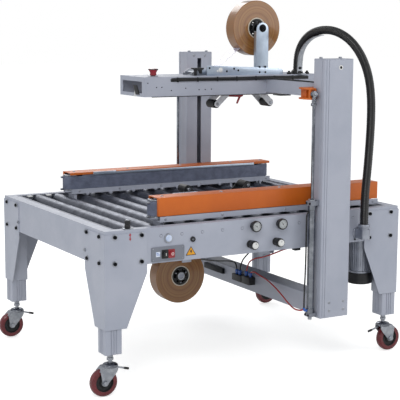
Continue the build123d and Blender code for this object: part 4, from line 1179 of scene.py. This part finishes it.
for body, x in (("lift_pressure_knob", panel["knobs"][0]), ("belt_pressure_knob", panel["knobs"][1])):
    z = panel["knobZ"]
    label = "lift" if body.startswith("lift") else "belt"
    shape = bmesh.new()
    addTurned(shape, (x, py, z), toFront,
              [(0, -0.2), (15, -0.2), (15, 3), (12, 4), (12, 15.6), (4, 15.6), (4, 34), (0, 34)], 32, False)
    makePiece(label + "Regulator", shape, "blackNylon", "frame", 0.4)
    shape = bmesh.new()
    outline = [(x + r * math.cos(a), z + r * math.sin(a)) for r, a in
               ((17.0 if k % 4 < 2 else 15.8, 2 * math.pi * k / 48) for k in range(48))]
    addPlate(shape, outline, "y", py - 37, py - 17.2)
    knob = makePiece(label + "Knob", shape, "blackNylon", body, 0.5)
    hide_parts(body)
    shape = bmesh.new()
    addTurned(shape, (x, py - 36.8, z), toFront,
              [(0, 0), (12.4, 0), (12.8, 1), (12.4, 4.6), (10.4, 6.2), (0, 6.2)], 32, False)
    makePiece(label + "KnobTip", shape, "whiteNylon", body, 0.2)
    shape = bmesh.new()
    addPlate(shape, [(x - 0.8, z + 3), (x + 0.8, z + 3), (x + 0.8, z + 9), (x - 0.8, z + 9)], "y",
             py - 43.3, py - 42.8)
    makePiece(label + "KnobMark", shape, "blackCoat", body)

# generic signs: yellow triangle with a bolt, red two-way arrow
shape = bmesh.new()
addPlate(shape, roundedPath([(-325, 488), (-281, 488), (-303, 522)], 3, 4), "y", py - 0.7, py)
makePiece("warningSign", shape, "blackCoat", "frame")
shape = bmesh.new()
addPlate(shape, roundedPath([(-321, 490.5), (-285, 490.5), (-303, 518)], 2, 3), "y", py - 1.1, py - 0.5)
makePiece("warningField", shape, "signYellow", "frame")
shape = bmesh.new()
addPlate(shape, [(-305, 508), (-299.5, 508), (-301.5, 502.5), (-298.5, 502.5), (-304, 493), (-302.8, 500),
                 (-306.5, 500)],
         "y", py - 1.5, py - 0.9)
makePiece("warningBolt", shape, "blackCoat", "frame")
shape = bmesh.new()
addPlate(shape, [(-551.6, 571), (-551.6, 582), (-554.6, 582), (-550, 591), (-545.4, 582), (-548.4, 582),
                 (-548.4, 571), (-545.4, 571), (-550, 562), (-554.6, 571)], "y", -499.7, -499)
makePiece("arrowSign", shape, "guardRed", "frame")

# hose elbow on the panel
shape = bmesh.new()
addPlate(shape, roundedPath([(432, -552), (472, -552), (472, -496), (432, -496)], [12, 12, 0, 0], 6), "z",
         490, 527)
addTurned(shape, (452, -532, 527), alongZ,
          [(17.3, 0), (20, 0), (20, 8), (23, 9), (23, 17), (20, 20.8), (17.3, 20.8)], 12)
addTurned(shape, (452, -496.2, 508), toFront, capOf(27, 3.4, 25, 5), 36, False)
makePiece("hoseElbow", shape, "castAlloy", "frame", 1.2)
placeCopies("elbowBolts", socketScrew(3.6, 4, 1.8),
            [((x, -501, z), toFront) for x, z in ((432, 484), (474, 484))],
            "blackSteel", "frame")
print("operator's panel made")


# ---- guide roller and its bracket at the infeed corner
shape = bmesh.new()
addPlate(shape, roundedPath([(-566, -496), (-534, -496), (-534, -464), (-566, -464)], 4, 3), "z", 602.1,
         605.1)
addRod(shape, (-550, -478, 605), (-550, -478, 636), 3.9, 16, 0.6)
addTurned(shape, (-550, -478, 633), alongZ, ringOf(3.8, 7.4, 3), 6)
makePiece("guideBracket", shape, "zincPlate", "frame", 0.3)
shape = bmesh.new()
addTurned(shape, (-550, -478, 606), alongZ,
          [(4.05, 0), (10, 0), (11, 1.2), (11, 10), (9.6, 12), (9.6, 14), (11, 16),
                                              (11, 24.8), (10, 26), (4.05, 26)], 28)
guide = makePiece("guideWheel", shape, "blackNylon", "guide_roller")
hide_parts("guide_roller")
print("guide roller made")


# ---- table: end discs of the rollers, leg bolts with washers
washers = []
for sx in (-1, 1):
    for sy in (-1, 1):
        for u in (40.0, 145.0):
            for v in (580.0, 485.0):
                washers.append(((sx * (650 - u), sy * 499.0, v), (0, sy, 0)))
                washers.append(((sx * 650.0, sy * (499 - u), v), (sx, 0, 0)))
shape = bmesh.new()
addTurned(shape, (0, 0, 0), alongZ, [(6.6, -0.2), (11, -0.2), (11, 0.9), (9.6, 1.5), (6.6, 1.5)], 24)
placeCopies("legWashers", shape, washers, "zincPlate", "frame")
placeCopies("legSockets", socketScrew(6.6, 6.8, 3.2), washers, "blackSteel", "frame")
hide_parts("leg_bolts")
placeCopies("endNuts", hexNut(13, 4, 3.2),
            [((sx * 650.0, sy * y, z), (sx, 0, 0)) for sx in (-1, 1) for sy in (-1, 1)
                                            for y, z in ((340, 581), (335, 512))], "zincPlate", "frame")
rollerPitch, rollerZ = 85.0, 570.0
rollerXs = [rollerPitch * (k - 7) for k in range(15)]
ends = [((x, sy * 496.0, rollerZ), (0, sy, 0)) for x in rollerXs for sy in (-1, 1)]
placeCopies("rollerStubs", hexNut(9.4, 0.8, 0.4), ends, "frameGrey", "frame")
for k, x in enumerate(rollerXs):
    split = -130 < x + 30 and x - 30 < 300
    starts = (-459.2, -69.8, 69.8, 459.2) if split else (-459.2, 459.2)
    shape = bmesh.new()
    for y in starts:
        out = 1 if y > 0 else -1
        if split and abs(y) < 100:
            out = -out
        addTurned(shape, (x, y, rollerZ), (0, out, 0),
                  [(6.4, -0.6), (27.4, -0.6), (28.6, 0.2), (27.4, 1.0), (20, 1.2), (16, 0.2),
                                                    (12, 0.4), (6.4, 0.4)], 32)
    makePiece("rollerCap%02d" % (k + 1), shape, "blackNylon", "roller_%02d" % (k + 1))
shape = bmesh.new()
for x in (rollerXs[0] + rollerPitch / 2, rollerXs[1] + rollerPitch / 2):
    addBox(shape, (x - 10, x + 10), (440, 462), (596, 599))
makePiece("bedTabs", shape, "whiteNylon", "frame", 0.4)
print("table made")


# ---- legs: grooved posts, caster crowns, nuts, levers; wheels with hub, bearing and tread
legX, legY = 614.0, 463.3
shape = bmesh.new()
for sx in (-1, 1):
    for sy in (-1, 1):
        x, y, h = sx * legX, sy * legY, 32.7
        ring = []
        for fx, fy, tx, ty in ((-1, -1, 1, 0), (1, -1, 0, 1), (1, 1, -1, 0), (-1, 1, 0, -1)):
            corner = Vector((fx * h, fy * h))
            along, inward = Vector((tx, ty)), Vector((-ty, tx))
            ring.append(corner + along * 4)
            for g in (20.0, 30.0, 40.0):
                for a, b in ((g, 0), (g + 0.6, 2.6), (g + 4.6, 2.6), (g + 5.2, 0)):
                    ring.append(corner + along * a + inward * b)
            ring.append(corner + along * (2 * h - 4))
            ring.append(corner + along * (2 * h - 1.2) + inward * 1.2)
        addPlate(shape, [(x + p.x, y + p.y) for p in ring], "z", 156, 455)
postPiece = makePiece("groovedPosts", shape, "frameGrey", "legs")
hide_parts("leg_posts")
shape = bmesh.new()
for sx in (-1, 1):
    for sy in (-1, 1):
        x, y = sx * legX, sy * legY
        addRod(shape, (x, y, 104), (x, y, 157), 6.9, 24)
        addTurned(shape, (x, y, 130), alongZ,
                  [(6.8, 0), (12, 0), (12.6, 1), (12.6, 9), (12, 10), (6.8, 10)], 6)
        addTurned(shape, (x, y, 142), alongZ, ringOf(6.8, 11, 7), 6)
        addTurned(shape, (x, y, 153.6), alongZ, ringOf(6.8, 19, 2.2), 32)
makePiece("casterStems", shape, "zincPlate", "legs", 0.3)
print("posts made")

caster = {"trail": 27.0, "axle": 52.0, "half": 17.0, "wall": 3.0}
axleZ = caster["axle"]
for crossName, sy in (("front", -1), ("back", 1)):
    for runName, sx in (("infeed", -1), ("outfeed", 1)):
        corner = "%s_%s" % (crossName, runName)
        label = crossName.capitalize() + runName.capitalize()
        x, y = sx * legX, sy * legY
        axleX = x + sx * caster["trail"]
        shape = bmesh.new()
        addTurned(shape, (x, y, 108), alongZ,
                  [(7.7, 14), (13, 14), (17, 12.6), (24, 10), (28, 6), (29, 2), (28, -2),
                                                  (24, -4), (7.7, -4)], 40)
        crown = makePiece("casterCrown" + label, shape, "hardChrome", "caster_" + corner, 0.2)
        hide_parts("caster_fork_" + corner)
        shape = bmesh.new()
        for side in (-1, 1):
            yIn = y + side * caster["half"]
            low, high = sorted((yIn, yIn + side * caster["wall"]))
            cheek = [(x - sx * 21, 112), (x + sx * 30, 112), (x + sx * 46, 96), (axleX + sx * 11, 50),
                     (axleX + sx * 6, 41),
                     (axleX - sx * 4, 40), (axleX - sx * 11, 48), (x - sx * 16, 84), (x - sx * 24, 98)]
            addPlate(shape, roundedPath(cheek, [4, 3, 6, 5, 3, 3, 5, 6, 5], 4), "y", low, high)
        yRange = (y - caster["half"] - caster["wall"], y + caster["half"] + caster["wall"])
        top = [(x - sx * 24, 110.5), (x + sx * 32, 110.5), (x + sx * 48, 95), (x + sx * 46, 93),
               (x + sx * 31, 107.5), (x - sx * 24, 107.5)]
        addPlate(shape, top, "y", *yRange)
        makePiece("casterFork" + label, shape, "zincPlate", "caster_" + corner, 0.8)
        shape = bmesh.new()
        addRod(shape, (axleX, y - 24, axleZ), (axleX, y + 24, axleZ), 5.95, 20, 0.6)
        for side in (-1, 1):
            addTurned(shape, (axleX, y + side * 20.2, axleZ), (0, side, 0),
                      [(0, 0), (9.4, 0), (10, 0.8), (10, 5), (9.2, 6),
                                                                        (0, 6)], 6, False)
        addRod(shape, (x - sx * 22, y, 102), (x - sx * 58, y, 92), 3.4, 16, 0.5)
        makePiece("casterAxle" + label, shape, "zincPlate", "caster_" + corner, 0.2)
        shape = bmesh.new()
        addRod(shape, (x - sx * 54, y, 93), (x - sx * 74, y, 88), 4.6, 16, 1.2)
        makePiece("brakeGrip" + label, shape, "blackNylon", "caster_" + corner)
        shape = bmesh.new()
        treads = [(34, 13.4), (44.6, 14.4), (49.6, 11.6), (51.4, 6), (52, 0), (51.4, -6), (49.6, -11.6),
                  (44.6, -14.4), (34, -13.4)]
        addTurned(shape, (axleX, y, axleZ), alongY, treads, 64)
        tread = makePiece("wheelTread" + label, shape, "castUrethane", "wheel_" + corner)
        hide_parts("caster_wheel_" + corner)
        shape = bmesh.new()
        addTurned(shape, (axleX, y, axleZ), alongY,
                  [(6.05, -15), (15, -15), (17, -13), (19, -7), (30, -6), (33, -12.6),
                                                     (36, -12.6), (36, 12.6), (33, 12.6), (30, 6), (19, 7),
                   (17, 13),
                                                     (15, 15), (6.05, 15)], 48)
        makePiece("wheelHub" + label, shape, "blackNylon", "wheel_" + corner, 0.3)
        shape = bmesh.new()
        for side in (-1, 1):
            addTurned(shape, (axleX, y + side * 14.6, axleZ), (0, side, 0), ringOf(6.1, 12.6, 0.9), 32)
        makePiece("wheelBearing" + label, shape, "zincPlate", "wheel_" + corner, 0.2)
print("casters made")


# ---- columns: folded sheet with corner grooves, top plates and screws
column = {"xs": (223.0, 356.0), "inner": 496.0, "outer": 570.2, "foot": 203.0, "top": 1193.0, "sheet": 3.0,
          "fold": 7.0, "slotXs": (279.5, 299.5), "slotZs": (642.0, 1165.0), "grooves": (232.0, 243.0)}
for side, label in ((-1, "Front"), (1, "Back")):
    inner, outer, sheet = column["inner"], column["outer"], column["sheet"]
    left, right = column["xs"]
    fold = column["fold"]
    corners = [(right, inner, fold), (right, outer, fold)]
    for x in reversed(column["grooves"]):
        corners += [(x + 1.3, outer, 0), (x + 1.3, outer - 1.6, 0), (x - 1.3, outer - 1.6, 0),
                    (x - 1.3, outer, 0)]
    corners += [(left, outer, fold - 2), (left, outer - 16, 0), (left + 1.6, outer - 16, 0),
                (left + 1.6, outer - 19, 0), (left, outer - 19, 0), (left, inner, fold)]
    lip = column["slotXs"]
    outside = roundedPath([c[:2] for c in corners], [c[2] for c in corners])
    cavity = [(left + sheet, inner + sheet), (left + sheet, outer - sheet), (right - sheet, outer - sheet),
              (right - sheet, inner + sheet)]
    folded = ([(lip[1], inner)] + outside + [(lip[0], inner), (lip[0], inner + sheet)] + cavity
              + [(lip[1], inner + sheet)])
    shape = bmesh.new()
    low, high = column["slotZs"]
    for points, zs in ((outside, (column["foot"], low)), (folded, (low, high)),
                       (outside, (high, column["top"] - 3.2))):
        addPlate(shape, [(x, side * y) for x, y in points], "z", *zs)
    post = makePiece("column" + label, shape, "frameGrey", "frame")
    if side < 0:
        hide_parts("columns")
    shape = bmesh.new()
    lid = roundedPath([(left + 0.4, inner + 0.4), (right - 0.4, inner + 0.4), (right - 0.4, outer - 0.4),
                       (left + 0.4, outer - 0.4)], fold)
    addPlate(shape, [(x, side * y) for x, y in lid], "z", column["top"] - 3.2, column["top"])
    makePiece("columnTop" + label, shape, "frameGrey", "frame", 0.8)
    placeCopies("columnTopScrews" + label, socketScrew(6.5, 6, 3),
                [((x, side * (inner + 16), column["top"]), alongZ) for x in (left + 22, right - 22)],
                "zincPlate", "frame", bevel=0.3)
    placeCopies("columnFootScrews" + label, domeScrew(6, 1.7),
                [((x, side * outer, z), (0, side, 0)) for x in (left + 42, right - 24) for z in (230, 262)],
                "zincPlate", "frame")
    shape = bmesh.new()
    addTurned(shape, (right - 60, side * outer, 1161), (0, side, 0),
              [(0, -1), (9, -1), (9, 0.9), (5, 0.9), (0, 0.9)], 24, False)
    makePiece("columnWasher" + label, shape, "whiteNylon", "frame")
    placeCopies("columnFaceScrew" + label, domeScrew(5.2, 0.8), [((right - 60, side * (outer + 0.9), 1161),
                                                                  (0, side, 0))], "blackSteel", "frame")
placeCopies("columnInnerScrews", domeScrew(6.5, 2.6),
            [((x, side * column["inner"], z), (0, -side, 0)) for side in (-1, 1) for x, z in
             ((262, 1178), (318, 1178), (262, 618), (318, 618))], "zincPlate", "frame")
print("columns made")


# ---- lift cylinders: barrel, cap, foot, clamp and air fittings
cylinder = {"x": rodX, "mid": rodY, "radius": 14.0, "low": 222.0, "high": 640.0, "cap": 664.0}
for side, label in ((-1, "Front"), (1, "Back")):
    x, y = cylinder["x"], side * cylinder["mid"]
    shape = bmesh.new()
    addTurned(shape, (x, y, 0), alongZ, [
        (12.5, cylinder["low"]), (cylinder["radius"] + 1.6, cylinder["low"]), (cylinder["radius"] + 1.6, 240),
        (cylinder["radius"], 241), (cylinder["radius"], 622), (cylinder["radius"] + 1.6, 623),
        (cylinder["radius"] + 1.6, cylinder["high"]), (12.5, cylinder["high"])], 40)
    barrel = makePiece("cylinderBarrel" + label, shape, "hardChrome", "frame")
    if side < 0:
        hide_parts("lift_cylinders")
    shape = bmesh.new()
    for zs, half, left in (((cylinder["high"], cylinder["cap"] - 6), 17, x - 16), ((208, 222), 16, x - 14)):
        addBox(shape, (left, 223), (y - half, y + half), zs)
    makePiece("cylinderBlocks" + label, shape, "panelGrey", "frame", 2.0, 3)
    shape = bmesh.new()
    addTurned(shape, (x, y, 0), alongZ, [(9.6, cylinder["cap"] - 6), (15, cylinder["cap"] - 6),
                                           (15, cylinder["cap"] - 1), (14, cylinder["cap"]),
                                         (9.6, cylinder["cap"])], 32)
    addTurned(shape, (x, y, 0), alongZ, [(0, 196), (7, 196), (8, 197), (8, 207.9), (0, 207.9)], 24, False)
    makePiece("cylinderNuts" + label, shape, "zincPlate", "frame")
    placeCopies("cylinderScrews" + label, socketScrew(4, 4, 2),
                [((x - 16, y + b, z), (-1, 0, 0)) for b in (-11, 11) for z in (649,)]
                + [((x - 14, y + b, 215), (-1, 0, 0)) for b in (-10, 10)], "blackSteel", "frame")
    addTube("cylinderPort" + label, [(x - 4, y, 232), (x - 20, y, 232), (x - 27, y, 236), (x - 28, y, 245)],
            5.0, "blueUrethane", "frame")
    addTube("cylinderAir" + label, [(x - 28, y, 240), (x - 28, y, 300), (x - 25, y + side * 2, 400),
                                    (x - 23, y, 520), (x - 23, y, 596), (x - 20.5, y, 612),
                                    (x - 14.4, y, 617)],
            3.0, "blackNylon", "frame")
print("lift cylinders made")


# ---- cross channel with its valve block, fittings and air tubes
shape = bmesh.new()
channelOutline = roundedPath([(237.5, 205), (237.5, 280), (317.5, 280), (317.5, 205), (313.5, 205),
                              (313.5, 276), (241.5, 276), (241.5, 205)], [0, 5, 5, 0, 0, 0, 0, 0])
addPlate(shape, channelOutline, "y", -496, 496)
channel = makePiece("crossChannel", shape, "frameGrey", "frame")
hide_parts("cross_channel")
shape = bmesh.new()
addBox(shape, (223, 237.4), (392, 470), (232, 268))
addBox(shape, (225, 237.4), (168, 330), (238, 262))
makePiece("airPlate", shape, "blackSteel", "frame", 1.5)
shape = bmesh.new()
addBox(shape, (210, 237.4), (-10, 64), (236, 264))
addBox(shape, (206, 237.4), (-82, -22), (238, 270))
makePiece("airValves", shape, "blackNylon", "frame", 2.0)
valvePorts = [(224, 44, 264), (224, 20, 264), (222, -36, 270), (222, -66, 270)]
shape = bmesh.new()
for x, y, z in valvePorts:
    addTurned(shape, (x, y, z), alongZ, [(0, -1), (6.5, -1), (6.5, 5), (8, 6), (8, 17), (5.5, 20), (0, 20)],
              20, False)
makePiece("airFittings", shape, "blueUrethane", "frame")
addTube("airTubeA", [(224, 44, 280), (224, 50, 304), (222, 66, 312), (222, 120, 306), (223, 200, 290),
                     (226, 300, 276), (230, 380, 268), (228, 402, 262)], 3.0, "blackNylon", "frame")
addTube("airTubeB", [(224, 20, 280), (226, 16, 318), (232, -20, 356), (236, -80, 398), (236, -150, 436),
                     (238, -230, 452)], 3.0, "blackNylon", "frame")
addTube("airTubeC", [(222, -36, 286), (222, -44, 326), (228, -84, 352), (236, -140, 366), (240, -220, 396),
                     (242, -300, 430), (242, -380, 452)], 3.0, "redUrethane", "frame")
addTube("airTubeD", [(222, -66, 286), (222, -88, 300), (222, -134, 292), (220, -200, 284), (216, -262, 268),
                     (210, -320, 250), (196, -388, 232), (180, -450, 224), (172, -490, 226), (172, -524, 232),
                     (173, -534, 240)],
        3.0, "redUrethane", "frame")
print("cross channel made")


# ---- small parts under the front panel
makePiece("panelSensor", shaped(addBox, (174, 200), (-466, -444), (455, 472)), "blackNylon", "frame",
          1.5)
makePiece("panelTab", shaped(addBox, (-320, -284), (-466, -458), (456, 473)), "frameGrey", "frame",
          1.0)
print("parts under the panel made")
